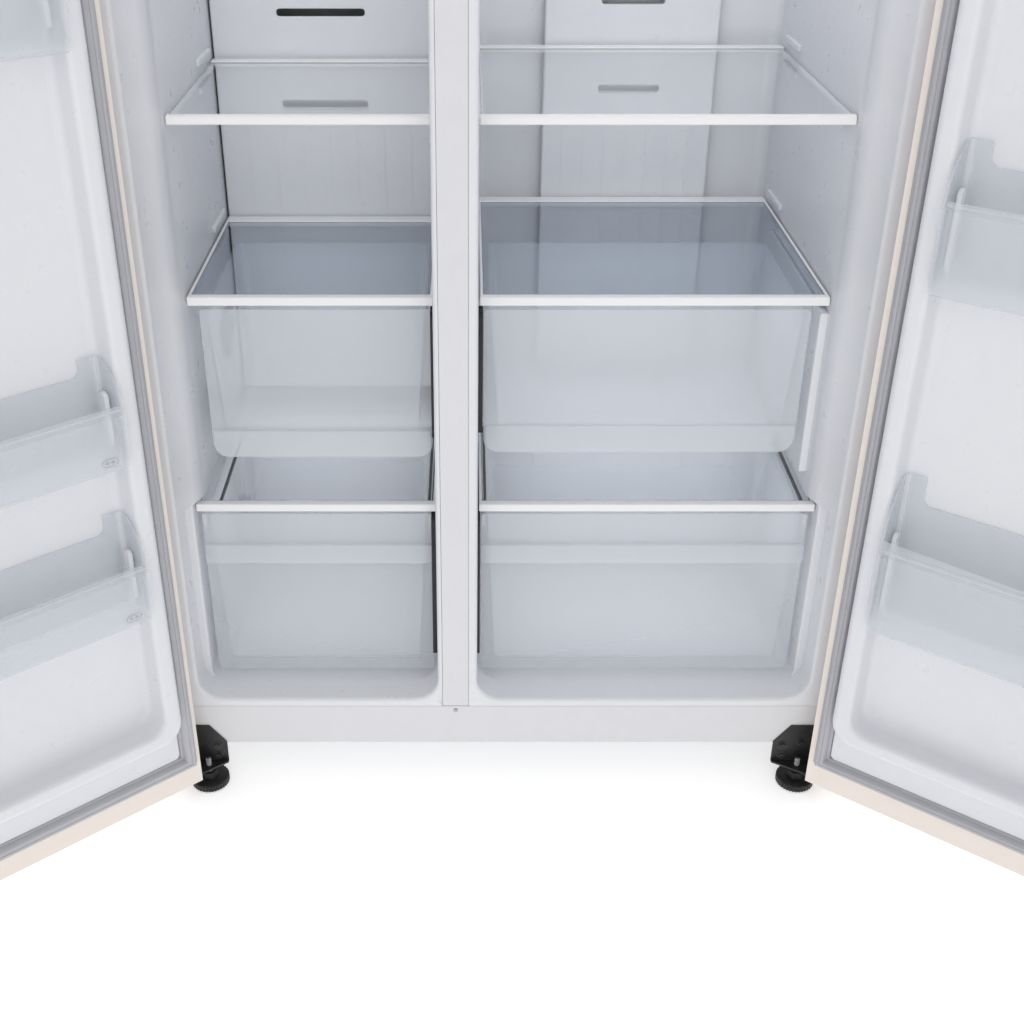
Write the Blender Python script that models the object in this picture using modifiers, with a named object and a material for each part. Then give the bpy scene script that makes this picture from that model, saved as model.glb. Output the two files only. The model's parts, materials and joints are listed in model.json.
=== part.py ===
"""Side by side refrigerator, standing with both doors open.

The case is worked out in its own frame: X = 0 is the middle of the case, Y = 0 is the flange that the
doors close on, Y grows towards the back and Z = 0 is the floor. At the end everything hangs under one
empty that is moved, so that the origin is the middle of the footprint. All sizes are in metres.
"""

import math
from collections import namedtuple

import bmesh
import bpy
from mathutils import Matrix, Vector

# Case
HALF_WIDTH = 0.4565
CASE_DEPTH = 0.620
CASE_BOTTOM = 0.0622
CASE_TOP = 1.750
PANEL_BOTTOM = 0.062
PANEL_TOP = 0.1276
PANEL_LIP = 0.020
REAR_FACE_Y = 0.6186
FOAM_BOTTOM = 0.0640
SHEET = 0.001
LINER = 0.0015
GAP = 0.0003
BEYOND = 0.100

# Compartments: the openings in the front, and the mullion between them
OPENING_BOTTOM = 0.140
OPENING_TOP = 1.700
OPENING_RADIUS = 0.033
FREEZER_X = (-0.4277, -0.0924)
FRIDGE_X = (-0.0377, 0.4277)
MULLION_X = (-0.0857, -0.0497)
MULLION_DEPTH = 0.008
POCKET_START = -0.020

# The three hollows behind each opening: how far the outer wall and the mullion wall stand in, bottom, top,
# depth, and the radii of their lower and upper corners
Hollow = namedtuple("Hollow", "name inset relief bottom top depth low_radius high_radius")
LEDGE_Z = 0.4290
LOWER_DEPTH = 0.335
HOLLOWS = (
    Hollow("front", 0.0, 0.0, OPENING_BOTTOM, OPENING_TOP, 0.045, OPENING_RADIUS, OPENING_RADIUS),
    Hollow("lower", 0.0112, 0.0010, 0.1380, LEDGE_Z, LOWER_DEPTH, 0.010, 0.004),
    Hollow("upper", 0.0252, 0.0016, 0.4000, 1.6980, 0.530, 0.004, OPENING_RADIUS),
)

# Machine room, behind the lower hollows
MACHINE_ROOM_Y = 0.400
MACHINE_ROOM_HALF = 0.438
MACHINE_ROOM_TOP = 0.380
COMPRESSOR_PLACE = (0.230, 0.510, 0.075)
COMPRESSOR_PROFILE = (
    (0.0, 0.170),
    (0.045, 0.162),
    (0.078, 0.130),
    (0.084, 0.090),
    (0.084, 0.070),
    (0.070, 0.020),
    (0.0, 0.008),
)
DRAIN_PAN_LOW = (-0.430, 0.415, 0.0630)
DRAIN_PAN_HIGH = (-0.130, 0.600, 0.0950)
DRAIN_PAN_WALL = 0.003
COIL_X = (-0.340, -0.260)
COIL_Y = (0.440, 0.580)
COIL_BOTTOM = 0.125
COIL_ROWS = 6
COIL_PITCH = 0.032
COIL_TUBE = 0.004
CONDENSER_FAN_AXIS = (-0.0990, 0.5100, 0.1650)
CONDENSER_FAN_RADIUS = 0.062
SHROUD_LOW = (-0.1120, 0.425, 0.0700)
SHROUD_HIGH = (-0.0900, 0.595, 0.2600)
SHROUD_BORE = 0.070
EVAPORATOR_FAN_AXIS = (-0.2500, 0.4650, 0.8700)
EVAPORATOR_FAN_RADIUS = 0.055
FAN_BLADES = 5

# Doors, measured from the hinge side edge and from the inner face
DOOR_BOTTOM = 0.035
DOOR_TOP = 1.748
DOOR_THICKNESS = 0.072
DOOR_FACE_Y = -0.017
DOOR_MEETING_X = -0.0677
DOOR_HALF_GAP = 0.0025
DOOR_LIP = 0.006
DOOR_BAND = 0.0355
GASKET_WIDTH = 0.0235
GASKET_HEIGHT = 0.0143
DIKE_SIDE = 0.033
DIKE_BOTTOM = 0.115
DIKE_WIDTH = 0.025
DIKE_HEIGHT = 0.036
DIKE_RADIUS = 0.030
GRIP_Z = (0.620, 1.220)
GRIP_DEPTH = 0.030
GRIP_LIP = 0.014
GRIP_INNER = -0.030
GRIP_OUTER = -0.058
PIN_FROM_EDGE = 0.0095
PIN_FROM_FACE = 0.022
PIN_RADIUS = 0.005
PIN_HOLE_RADIUS = 0.0055
PIN_HOLE_DEPTH = 0.042
FREEZER_OPEN_DEG = 140.0
FRIDGE_OPEN_DEG = 143.0

# Door bins: bottom, height of the front rail, height of the raised back corners
BIN_SIDE = 0.062
BIN_BACK = 0.002
BIN_FRONT = 0.062
BIN_WALL = 0.0025
FREEZER_BINS = {
    "lower": (0.367, 0.078, 0.136),
    "middle": (0.580, 0.076, 0.126),
    "upper": (1.040, 0.078, 0.136),
}
FRIDGE_BINS = {
    "lower": (0.349, 0.120, 0.205),
    "middle": (0.789, 0.100, 0.160),
    "upper": (1.240, 0.080, 0.130),
}

# Shelves: left, right, front, back and top of each
SHELF_THICKNESS = 0.0115
TRIM_FRONT = 0.012
TRIM_BACK = 0.024
TRIM_SIDE = 0.004
UPPER_SHELF_Y = 0.075
LOWER_SHELF_Y = 0.058
FREEZER_BACK_Y = 0.4050
FRIDGE_BACK_Y = 0.5020
FREEZER_SHELF_X = (-0.4001, -0.0936)
FRIDGE_SHELF_X = (-0.0352, 0.4001)
UPPER_SHELF_TOP = 0.7092
LOWER_SHELF_TOP = 0.4228
HIGH_SHELF_TOPS = (0.930, 1.160, 1.420)

# Drawers: left and right side, front and back, bottom and top, the pull band's bottom and top, and how far
# the band stands out
UPPER_DRAWER_Y = (0.081, 0.345)
LOWER_DRAWER_Y = (0.064, 0.300)
LOWER_DRAWER_Z = (0.1455, 0.4045)
LOWER_BAND_Z = (0.3295, 0.3586)
DRAWERS = {
    "freezer_upper_drawer": ((-0.3870, -0.0968), UPPER_DRAWER_Y, (0.4825, 0.6904), (0.4825, 0.5233), 0.005),
    "fridge_upper_drawer": ((-0.0301, 0.3806), UPPER_DRAWER_Y, (0.4900, 0.6904), (0.4900, 0.5310), 0.005),
    "freezer_lower_drawer": ((-0.4100, -0.0990), LOWER_DRAWER_Y, LOWER_DRAWER_Z, LOWER_BAND_Z, 0.006),
    "fridge_lower_drawer": ((-0.0327, 0.4090), LOWER_DRAWER_Y, LOWER_DRAWER_Z, LOWER_BAND_Z, 0.006),
}
DRAWER_WALL = 0.0025
DRAWER_FRONT = 0.004
DRAWER_EDGE = 0.006
DRAWER_TAPER = 0.012
TUB_LIFT = 0.012

# Feet, rollers and brackets
FOOT_X = 0.4236
FOOT_Y = -0.012
FOOT_RADIUS = 0.027
BRACKET_OUTER_X = 0.4525
BRACKET_INNER_X = {"left": 0.3964, "right": 0.3879}
BRACKET_Z = 0.029
BRACKET_SHEET = 0.003
BRACKET_FLANGE_Y = -0.0023
BRACKET_STEP_Z = 0.0645
BRACKET_TOP = 0.0939
BRACKET_CHAMFER = 0.0229
PLATE_FRONT_Y = -0.0500
FOOT_BORE = 0.0048
TRAY_HALF_WIDTH = 0.4545
TRAY_Z = (0.0590, 0.0615)
TRAY_Y = (0.0240, 0.6180)
ROLLER_X = 0.360
ROLLER_Y = 0.575
ROLLER_RADIUS = 0.020
ROLLER_WIDTH = 0.020
AXLE_RADIUS = 0.004
AXLE_LENGTH = 0.034
EAR_OFFSET = 0.013
UPPER_HINGE_Z = (1.7505, 1.7535)
HINGE_COVER_TOP = 1.790
HINGE_COVER_WALL = 0.002

ARC_STEPS = 4

COLOURS = {
    "cream_steel": ((0.93, 0.87, 0.81), 0.35, 0.0),
    "white_steel": ((0.80, 0.80, 0.82), 0.40, 0.0),
    "white_plastic": ((0.84, 0.85, 0.87), 0.35, 0.0),
    "trim_plastic": ((0.92, 0.92, 0.93), 0.30, 0.0),
    "gasket": ((0.62, 0.62, 0.65), 0.60, 0.0),
    "clear_plastic": ((0.80, 0.83, 0.88), 0.08, 0.0),
    "shelf_glass": ((0.70, 0.76, 0.82), 0.04, 0.0),
    "foam": ((0.86, 0.78, 0.55), 0.90, 0.0),
    "zinc_steel": ((0.62, 0.63, 0.65), 0.35, 1.0),
    "black_steel": ((0.03, 0.03, 0.03), 0.45, 0.0),
    "black_plastic": ((0.03, 0.03, 0.03), 0.50, 0.0),
    "copper_tube": ((0.60, 0.34, 0.22), 0.35, 1.0),
    "aluminium_fins": ((0.75, 0.76, 0.78), 0.35, 1.0),
}

SIDES = {"left": -1, "right": 1}


# ---------------------------------------------------------------- scene and helpers


def clear_scene():
    """Removes every object, so that the model starts from nothing."""
    for obj in list(bpy.data.objects):
        bpy.data.objects.remove(obj, do_unlink=True)


def make_collection(name):
    """A new collection in the scene."""
    collection = bpy.data.collections.new(name)
    bpy.context.scene.collection.children.link(collection)
    return collection


def make_materials():
    """One Principled material for each finish."""
    made = {}
    for name, (colour, roughness, metallic) in COLOURS.items():
        material = bpy.data.materials.new(name)
        material.use_nodes = True
        shader = material.node_tree.nodes["Principled BSDF"]
        shader.inputs["Base Color"].default_value = (*colour, 1.0)
        shader.inputs["Roughness"].default_value = roughness
        shader.inputs["Metallic"].default_value = metallic
        made[name] = material
    return made


clear_scene()
PARTS = make_collection("side_by_side_refrigerator")
CUTTERS = make_collection("cutters")
MATERIALS = make_materials()


def make_empty(name, location):
    """An empty that parts hang under, such as on a joint's axis."""
    empty = bpy.data.objects.new(name, None)
    empty.location = location
    empty.empty_display_size = 0.05
    PARTS.objects.link(empty)
    return empty


ROOT = make_empty("refrigerator", (0.0, 0.0, 0.0))


def finish(name, bm, material=None, parent=None):
    """Makes an object of the bmesh. Without a material it is a cutter."""
    bmesh.ops.recalc_face_normals(bm, faces=bm.faces)
    mesh = bpy.data.meshes.new(name)
    bm.to_mesh(mesh)
    bm.free()
    obj = bpy.data.objects.new(name, mesh)
    if material:
        mesh.materials.append(MATERIALS[material])
        PARTS.objects.link(obj)
    else:
        obj.hide_render = True
        obj.display_type = "WIRE"
        CUTTERS.objects.link(obj)
    obj.parent = parent or ROOT
    obj.matrix_parent_inverse = Matrix.Translation(-obj.parent.location)
    return obj


def add_box(bm, low, high):
    """Adds a box between two corners, and returns its vertices."""
    low, high = Vector(low), Vector(high)
    made = bmesh.ops.create_cube(bm, size=1.0)
    bmesh.ops.scale(bm, vec=high - low, verts=made["verts"])
    bmesh.ops.translate(bm, vec=(low + high) / 2, verts=made["verts"])
    return made["verts"]


def box(name, low, high, material=None, parent=None):
    """An object that is a plain box."""
    bm = bmesh.new()
    add_box(bm, low, high)
    return finish(name, bm, material, parent)


def tapered_box(name, low, high, narrow, material=None, parent=None):
    """A box whose bottom is narrower by narrow = (x, y) at each side and at the back."""
    bm = bmesh.new()
    verts = add_box(bm, low, high)
    middle_x = (low[0] + high[0]) / 2
    for vert in verts:
        if vert.co.z < (low[2] + high[2]) / 2:
            vert.co.x += math.copysign(narrow[0], middle_x - vert.co.x)
            if vert.co.y > (low[1] + high[1]) / 2:
                vert.co.y -= narrow[1]
    return finish(name, bm, material, parent)


def prism(name, outline, along, start, end, material=None, parent=None):
    """Extrudes an outline of 2D points. along is the axis it runs along: the two others take the points."""
    bm = bmesh.new()
    if along == "x":
        points = [(start, a, b) for a, b in outline]
        step = (end - start, 0.0, 0.0)
    elif along == "y":
        points = [(a, start, b) for a, b in outline]
        step = (0.0, end - start, 0.0)
    else:
        points = [(a, b, start) for a, b in outline]
        step = (0.0, 0.0, end - start)
    face = bm.faces.new([bm.verts.new(point) for point in points])
    made = bmesh.ops.extrude_face_region(bm, geom=[face])
    moved = [item for item in made["geom"] if isinstance(item, bmesh.types.BMVert)]
    bmesh.ops.translate(bm, vec=step, verts=moved)
    return finish(name, bm, material, parent)


def rounded_outline(x, z, bottom_radius, top_radius):
    """The points of a rectangle with round corners, anticlockwise from the bottom left one."""
    corners = [
        (x[0], z[0], 180, bottom_radius, 1, 1),
        (x[1], z[0], 270, bottom_radius, -1, 1),
        (x[1], z[1], 0, top_radius, -1, -1),
        (x[0], z[1], 90, top_radius, 1, -1),
    ]
    points = []
    for corner_x, corner_z, first, radius, side_x, side_z in corners:
        centre = (corner_x + side_x * radius, corner_z + side_z * radius)
        for step in range(ARC_STEPS + 1):
            angle = math.radians(first + 90 * step / ARC_STEPS)
            points.append((centre[0] + radius * math.cos(angle), centre[1] + radius * math.sin(angle)))
    return points


def cylinder(name, centre, radius, length, along="z", sides=24, material=None, parent=None):
    """A cylinder round its centre, lying along one axis."""
    bm = bmesh.new()
    turn = {
        "x": Matrix.Rotation(math.pi / 2, 4, "Y"),
        "y": Matrix.Rotation(math.pi / 2, 4, "X"),
        "z": Matrix.Identity(4),
    }[along]
    bmesh.ops.create_cone(
        bm,
        cap_ends=True,
        segments=sides,
        radius1=radius,
        radius2=radius,
        depth=length,
        matrix=Matrix.Translation(centre) @ turn,
    )
    return finish(name, bm, material, parent)


def turned(name, profile, centre, sides, material, parent=None):
    """A profile of (radius, height) points, from top to bottom, turned about a vertical axis."""
    bm = bmesh.new()
    verts = [bm.verts.new((radius, 0.0, height)) for radius, height in profile]
    for first, second in zip(verts, verts[1:]):
        bm.edges.new((first, second))
    mesh = bpy.data.meshes.new(name)
    bm.to_mesh(mesh)
    bm.free()
    mesh.materials.append(MATERIALS[material])
    obj = bpy.data.objects.new(name, mesh)
    PARTS.objects.link(obj)
    screw = obj.modifiers.new("turn", "SCREW")
    screw.steps = sides
    screw.render_steps = sides
    screw.use_merge_vertices = True
    screw.merge_threshold = 0.00001
    obj.location = centre
    obj.parent = parent or ROOT
    obj.matrix_parent_inverse = Matrix.Translation(-obj.parent.location)
    return obj


def combine(obj, operation, *others):
    """Adds Boolean modifiers that cut the others from obj, or join them to it."""
    for other in others:
        modifier = obj.modifiers.new(f"{operation.lower()}_{other.name}", "BOOLEAN")
        modifier.operation = operation
        modifier.object = other
    return obj


def cut(obj, *others):
    """Cuts the others from obj."""
    return combine(obj, "DIFFERENCE", *others)


def join(obj, *others):
    """Joins the others to obj."""
    return combine(obj, "UNION", *others)


# ---------------------------------------------------------------- case


def pockets(name, opening, wall_side, grow):
    """The hollow of one compartment: a shallow wide pocket behind the opening, then a lower and an upper one.

    wall_side is -1 when the outer wall is at the low X side, and grow makes the hollow that much larger.
    """
    outer, inner = (0, 1) if wall_side < 0 else (1, 0)
    made = []
    for hollow in HOLLOWS:
        x = list(opening)
        x[outer] += wall_side * (grow - hollow.inset)
        x[inner] -= wall_side * (grow + hollow.relief)
        z = (hollow.bottom - grow, hollow.top + grow)
        outline = rounded_outline(x, z, hollow.low_radius + grow, hollow.high_radius + grow)
        made.append(prism(f"{name}_{hollow.name}_pocket", outline, "y", POCKET_START, hollow.depth + grow))
    return made


def make_liner(name, opening, wall_side, flange_x):
    """One compartment's moulded liner: a wall round the hollow, with a flange over the case's front."""
    outside = pockets(f"{name}_outside", opening, wall_side, LINER)
    in_front_low = (-HALF_WIDTH - BEYOND, -BEYOND, 0.0)
    in_front = box(f"{name}_trim", in_front_low, (HALF_WIDTH + BEYOND, 0.0, CASE_TOP + BEYOND))
    low = (flange_x[0], 0.0, PANEL_TOP + GAP)
    high = (flange_x[1], LINER, CASE_TOP - LINER)
    liner = box(name, low, high, "white_plastic")
    join(liner, *outside)
    cut(liner, in_front, *pockets(f"{name}_inside", opening, wall_side, 0.0))
    return liner


def make_case():
    """The outer sheets, the two liners and the strip on the mullion between them."""
    inner = HALF_WIDTH - SHEET
    shell = box(
        "cabinet_shell",
        (-HALF_WIDTH, 0.0, CASE_BOTTOM),
        (HALF_WIDTH, REAR_FACE_Y - GAP, CASE_TOP),
        "cream_steel",
    )
    inside_high = (inner, CASE_DEPTH + BEYOND, CASE_TOP - SHEET)
    cut(shell, box("shell_inside", (-inner, -BEYOND, -BEYOND), inside_high))

    rear_low = (-HALF_WIDTH, REAR_FACE_Y, MACHINE_ROOM_TOP + 0.0008)
    box("rear_panel", rear_low, (HALF_WIDTH, CASE_DEPTH, CASE_TOP), "zinc_steel")

    flange_edge = inner - GAP
    make_liner("freezer_liner", FREEZER_X, -1, (-flange_edge, MULLION_X[0] - GAP))
    make_liner("fridge_liner", FRIDGE_X, 1, (MULLION_X[1] + GAP, flange_edge))

    low = (MULLION_X[0], 0.0, PANEL_TOP + GAP)
    high = (MULLION_X[1], MULLION_DEPTH, CASE_TOP - LINER)
    cover = box("mullion_cover", low, high, "white_steel")
    channel_low = (MULLION_X[0] + LINER, LINER, 0.0)
    channel_high = (MULLION_X[1] - LINER, MULLION_DEPTH + BEYOND, CASE_TOP + BEYOND)
    cut(cover, box("mullion_inside", channel_low, channel_high))


def make_insulation():
    """The foam between the outer sheets and the liners, which leaves the machine room free."""
    side = HALF_WIDTH - SHEET - GAP
    clearance = LINER + GAP
    foam = box(
        "insulation_foam",
        (-side, clearance, FOAM_BOTTOM),
        (side, REAR_FACE_Y - 2 * GAP, CASE_TOP - 0.002),
        "foam",
    )
    cut(foam, *pockets("foam_freezer", FREEZER_X, -1, clearance))
    cut(foam, *pockets("foam_fridge", FRIDGE_X, 1, clearance))
    machine_room = box(
        "foam_machine_room",
        (-MACHINE_ROOM_HALF, MACHINE_ROOM_Y, -BEYOND),
        (MACHINE_ROOM_HALF, CASE_DEPTH + BEYOND, MACHINE_ROOM_TOP),
    )
    mullion_notch = box(
        "foam_mullion_notch",
        (MULLION_X[0] - GAP, -BEYOND, 0.0),
        (MULLION_X[1] + GAP, MULLION_DEPTH + GAP, CASE_TOP + BEYOND),
    )
    panel_notch = box(
        "foam_panel_notch",
        (-HALF_WIDTH - BEYOND, -BEYOND, 0.0),
        (HALF_WIDTH + BEYOND, PANEL_LIP + 0.001, FOAM_BOTTOM + GAP),
    )
    cut(foam, machine_room, mullion_notch, panel_notch)


def make_base():
    """The base panel under the openings, and the tray under the case with the ears that hold the rollers."""
    edge = HALF_WIDTH - SHEET - GAP
    panel = box("base_front_panel", (-edge, 0.0, PANEL_BOTTOM), (edge, LINER, PANEL_TOP - GAP), "white_steel")
    join(panel, box("panel_lip", (-edge, 0.0, PANEL_BOTTOM), (edge, PANEL_LIP, PANEL_BOTTOM + LINER)))

    low = (-TRAY_HALF_WIDTH, TRAY_Y[0], TRAY_Z[0])
    tray = box("base_tray", low, (TRAY_HALF_WIDTH, TRAY_Y[1], TRAY_Z[1]), "zinc_steel")
    ear_half = (LINER, 0.016)
    ear_z = (0.010, TRAY_Z[0] + 0.001)
    for side, sign in SIDES.items():
        for label, offset in (("left", -EAR_OFFSET), ("right", EAR_OFFSET)):
            middle = sign * ROLLER_X + offset
            ear = box(
                f"roller_{side}_{label}_ear",
                (middle - ear_half[0], ROLLER_Y - ear_half[1], ear_z[0]),
                (middle + ear_half[0], ROLLER_Y + ear_half[1], ear_z[1]),
            )
            join(tray, ear)
        bore_centre = (sign * ROLLER_X, ROLLER_Y, ROLLER_RADIUS)
        cut(tray, cylinder(f"axle_bore_{side}", bore_centre, AXLE_RADIUS + 0.0005, 2 * AXLE_LENGTH, "x", 16))


def coil_points():
    """The serpentine of the condenser: up one column of runs and down the next."""
    points = []
    for column, x in enumerate(COIL_X):
        rows = range(COIL_ROWS) if column == 0 else reversed(range(COIL_ROWS))
        for row in rows:
            height = COIL_BOTTOM + COIL_PITCH * row
            forwards = row % 2 == column
            near, far = COIL_Y if forwards else reversed(COIL_Y)
            points += [(x, near, height), (x, far, height)]
    return points


def make_condenser():
    """One copper tube, bent into a serpentine."""
    points = coil_points()
    coil = bpy.data.curves.new("condenser_coil", "CURVE")
    coil.dimensions = "3D"
    spline = coil.splines.new("POLY")
    spline.points.add(len(points) - 1)
    for target, point in zip(spline.points, points):
        target.co = (*point, 1.0)
    coil.bevel_depth = COIL_TUBE
    coil.bevel_resolution = 1
    coil.use_fill_caps = True
    coil.materials.append(MATERIALS["copper_tube"])
    coil_object = bpy.data.objects.new("condenser_coil", coil)
    coil_object.parent = ROOT
    PARTS.objects.link(coil_object)


def make_shroud():
    """The plate that the condenser fan turns in, with three arms across its bore."""
    shroud = box("condenser_fan_shroud", SHROUD_LOW, SHROUD_HIGH, "black_plastic")
    middle = ((SHROUD_LOW[0] + SHROUD_HIGH[0]) / 2 + 0.001, *CONDENSER_FAN_AXIS[1:])
    cut(shroud, cylinder("shroud_bore", middle, SHROUD_BORE, 0.060, "x", 24))
    axis_y, axis_z = CONDENSER_FAN_AXIS[1:]
    arm_half, arm_thickness, arm_reach = 0.003, 0.003, SHROUD_BORE + 0.005
    centre = Matrix.Translation((0.0, axis_y, axis_z))
    for number in range(3):
        arm = box(
            f"shroud_arm_{number}",
            (SHROUD_LOW[0], axis_y - arm_half, axis_z),
            (SHROUD_LOW[0] + arm_thickness, axis_y + arm_half, axis_z + arm_reach),
        )
        turn = Matrix.Rotation(math.radians(120 * number), 4, "X")
        arm.data.transform(centre @ turn @ centre.inverted())
        join(shroud, arm)


def make_room_cover():
    """The sheet behind the machine room, with three columns of air slots."""
    half = HALF_WIDTH - 0.0065
    low = (-half, REAR_FACE_Y, FOAM_BOTTOM)
    cover = box("machine_room_cover", low, (half, CASE_DEPTH, MACHINE_ROOM_TOP), "zinc_steel")
    slot_half_width, slot_height, first_slot, slot_pitch = 0.100, 0.012, 0.120, 0.055
    for column, middle in enumerate((-0.300, 0.0, 0.300)):
        for row in range(4):
            bottom = first_slot + slot_pitch * row
            slot = box(
                f"cover_slot_{column}_{row}",
                (middle - slot_half_width, CASE_DEPTH - BEYOND, bottom),
                (middle + slot_half_width, CASE_DEPTH + BEYOND, bottom + slot_height),
            )
            cut(cover, slot)


def make_machine_room():
    """What stands behind the lower drawers: compressor, condenser, its fan, drain pan and the cover."""
    turned("compressor", COMPRESSOR_PROFILE, COMPRESSOR_PLACE, 20, "black_steel")

    pan = box("drain_pan", DRAIN_PAN_LOW, DRAIN_PAN_HIGH, "black_plastic")
    inside_low = [value + DRAIN_PAN_WALL for value in DRAIN_PAN_LOW]
    inside_high = [value - DRAIN_PAN_WALL for value in DRAIN_PAN_HIGH[:2]]
    cut(pan, box("pan_inside", inside_low, (*inside_high, DRAIN_PAN_HIGH[2] + BEYOND)))

    make_condenser()
    make_shroud()
    make_room_cover()
    make_fan("condenser_fan", CONDENSER_FAN_AXIS, "x", CONDENSER_FAN_RADIUS)


def make_fan(name, centre, along, radius):
    """A hub with pitched blades, turned about the axis along."""
    axis = make_empty(f"{name}_axis", centre)
    axis.parent = ROOT
    hub = cylinder(name, centre, radius * 0.32, 0.016, along, 20, "black_plastic", axis)
    blade_half_width, blade_half_thickness, root = 0.018, 0.001, radius * 0.20
    pitch = Matrix.Rotation(math.radians(20), 4, "Z")
    for number in range(FAN_BLADES):
        half = (blade_half_thickness, blade_half_width)
        if along != "x":
            half = (blade_half_width, blade_half_thickness)
        blade = box(f"{name}_blade_{number}", (-half[0], -half[1], root), (*half, radius), None, axis)
        around = Matrix.Rotation(math.tau * number / FAN_BLADES, 4, along.upper())
        blade.data.transform(Matrix.Translation(centre) @ around @ pitch)
        join(hub, blade)


def make_vents(cover, name, x, y, first, pitch, height):
    """Cuts four air slots, one above the other."""
    for row in range(4):
        low = first + pitch * row
        cut(cover, box(f"{name}_{row}", (x[0], y[0], low), (x[1], y[1], low + height)))


def make_ducts():
    """The covers in front of the back walls, and the evaporator with its fan behind the freezer's one."""
    vent_height, vent_pitch = 0.010, 0.225
    through_y = (0.300, 0.500)
    panel_low, panel_high = (-0.4000, 0.4080, 0.4350), (-0.0940, 0.4120, 1.6550)
    freezer_back = box("freezer_duct_cover", panel_low, panel_high, "white_plastic")
    make_vents(freezer_back, "freezer_vent", (-0.310, -0.190), through_y, 0.760, vent_pitch, vent_height)
    cut(freezer_back, box("freezer_return", (-0.330, through_y[0], 0.4500), (-0.170, through_y[1], 0.4650)))

    duct_low, duct_high = (0.0600, 0.5060, 0.4350), (0.3100, 0.5200, 1.6600)
    wall = 0.003
    fridge_back = box("fridge_duct_cover", duct_low, duct_high, "white_plastic")
    inside_low = (duct_low[0] + wall, duct_low[1] + wall, duct_low[2] - BEYOND)
    inside_high = (duct_high[0] - wall, duct_high[1] + BEYOND, duct_high[2] - wall)
    cut(fridge_back, box("fridge_duct_inside", inside_low, inside_high))
    make_vents(fridge_back, "fridge_vent", (0.140, 0.230), (0.400, 0.515), 0.790, vent_pitch, vent_height)

    evaporator = box("evaporator", (-0.3800, 0.4300, 0.4700), (-0.1150, 0.5050, 0.7400), "aluminium_fins")
    first_gap, gap_pitch, gap_width = -0.3560, 0.034, 0.014
    for number in range(7):
        left = first_gap + gap_pitch * number
        cut(evaporator, box(f"fin_gap_{number}", (left, 0.4000, 0.4600), (left + gap_width, 0.4950, 0.7500)))
    make_fan("evaporator_fan", EVAPORATOR_FAN_AXIS, "y", EVAPORATOR_FAN_RADIUS)


# ---------------------------------------------------------------- shelves


def make_shelf(name, x, y, top, framed):
    """A glass shelf. A framed one has its white frame round the glass as a piece of its own."""
    low = top - SHELF_THICKNESS
    if not framed:
        box(f"{name}_glass", (x[0], y[0], top - 0.005), (x[1], y[1], top), "shelf_glass")
        return
    frame = box(f"{name}_frame", (x[0], y[0], low), (x[1], y[1], top), "trim_plastic")
    hole_low = (x[0] + TRIM_SIDE, y[0] + TRIM_FRONT)
    hole_high = (x[1] - TRIM_SIDE, y[1] - TRIM_BACK)
    cut(frame, box(f"{name}_hole", (*hole_low, 0.0), (*hole_high, 2.0)))
    glass_low = (hole_low[0] + GAP, hole_low[1] + GAP, top - 0.0050)
    glass_high = (hole_high[0] - GAP, hole_high[1] - GAP, top - 0.0010)
    box(f"{name}_glass", glass_low, glass_high, "shelf_glass")


def make_shelves():
    """Two framed shelves over the drawers and three plain ones above, in each compartment."""
    make_shelf("freezer_upper_shelf", FREEZER_SHELF_X, (UPPER_SHELF_Y, FREEZER_BACK_Y), UPPER_SHELF_TOP, True)
    make_shelf("fridge_upper_shelf", FRIDGE_SHELF_X, (UPPER_SHELF_Y, FRIDGE_BACK_Y), UPPER_SHELF_TOP, True)
    lower_y = (LOWER_SHELF_Y, LOWER_DEPTH - 0.003)
    make_shelf("freezer_lower_shelf", (-0.4152, -0.0931), lower_y, LOWER_SHELF_TOP, True)
    make_shelf("fridge_lower_shelf", (-0.0355, 0.4152), lower_y, LOWER_SHELF_TOP, True)
    for number, top in enumerate(HIGH_SHELF_TOPS, 2):
        make_shelf(f"freezer_shelf_{number}", FREEZER_SHELF_X, (UPPER_SHELF_Y, FREEZER_BACK_Y), top, False)
        make_shelf(f"fridge_shelf_{number}", FRIDGE_SHELF_X, (UPPER_SHELF_Y, FRIDGE_BACK_Y), top, False)


# ---------------------------------------------------------------- drawers


def make_drawer(name, x, y, z, band_z, band_reach):
    """A clear tub behind a flat front, with a pull band across the front. The tub narrows downwards."""
    slide = make_empty(f"{name}_slide", ((x[0] + x[1]) / 2, y[0], z[0]))
    slide.parent = ROOT
    narrow = (DRAWER_TAPER, DRAWER_TAPER)
    front = box(name, (x[0], y[0], z[0]), (x[1], y[0] + DRAWER_FRONT, z[1]), "clear_plastic", slide)
    tub_low = (x[0] + DRAWER_EDGE, y[0] + 0.001, z[0] + TUB_LIFT)
    tub_high = (x[1] - DRAWER_EDGE, y[1], z[1] - DRAWER_FRONT)
    tub = tapered_box(f"{name}_tub", tub_low, tub_high, narrow, None, slide)
    inside_low = (tub_low[0] + DRAWER_WALL, y[0] + DRAWER_FRONT, tub_low[2] + 0.003)
    inside_high = (tub_high[0] - DRAWER_WALL, y[1] - DRAWER_WALL, z[1] + 0.050)
    inside = tapered_box(f"{name}_inside", inside_low, inside_high, narrow, None, slide)
    band_low = (x[0], y[0] - band_reach, band_z[0])
    band = box(f"{name}_band", band_low, (x[1], y[0] + 0.0035, band_z[1]), None, slide)
    join(front, tub, band)
    cut(front, inside)


def make_drawers():
    """The four drawers."""
    for name, sizes in DRAWERS.items():
        make_drawer(name, *sizes)


# ---------------------------------------------------------------- hinges, feet and rollers


def pin_place(sign):
    """The hinge axis of the door on that side, in plan."""
    return sign * (HALF_WIDTH - PIN_FROM_EDGE), DOOR_FACE_Y - PIN_FROM_FACE


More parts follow.
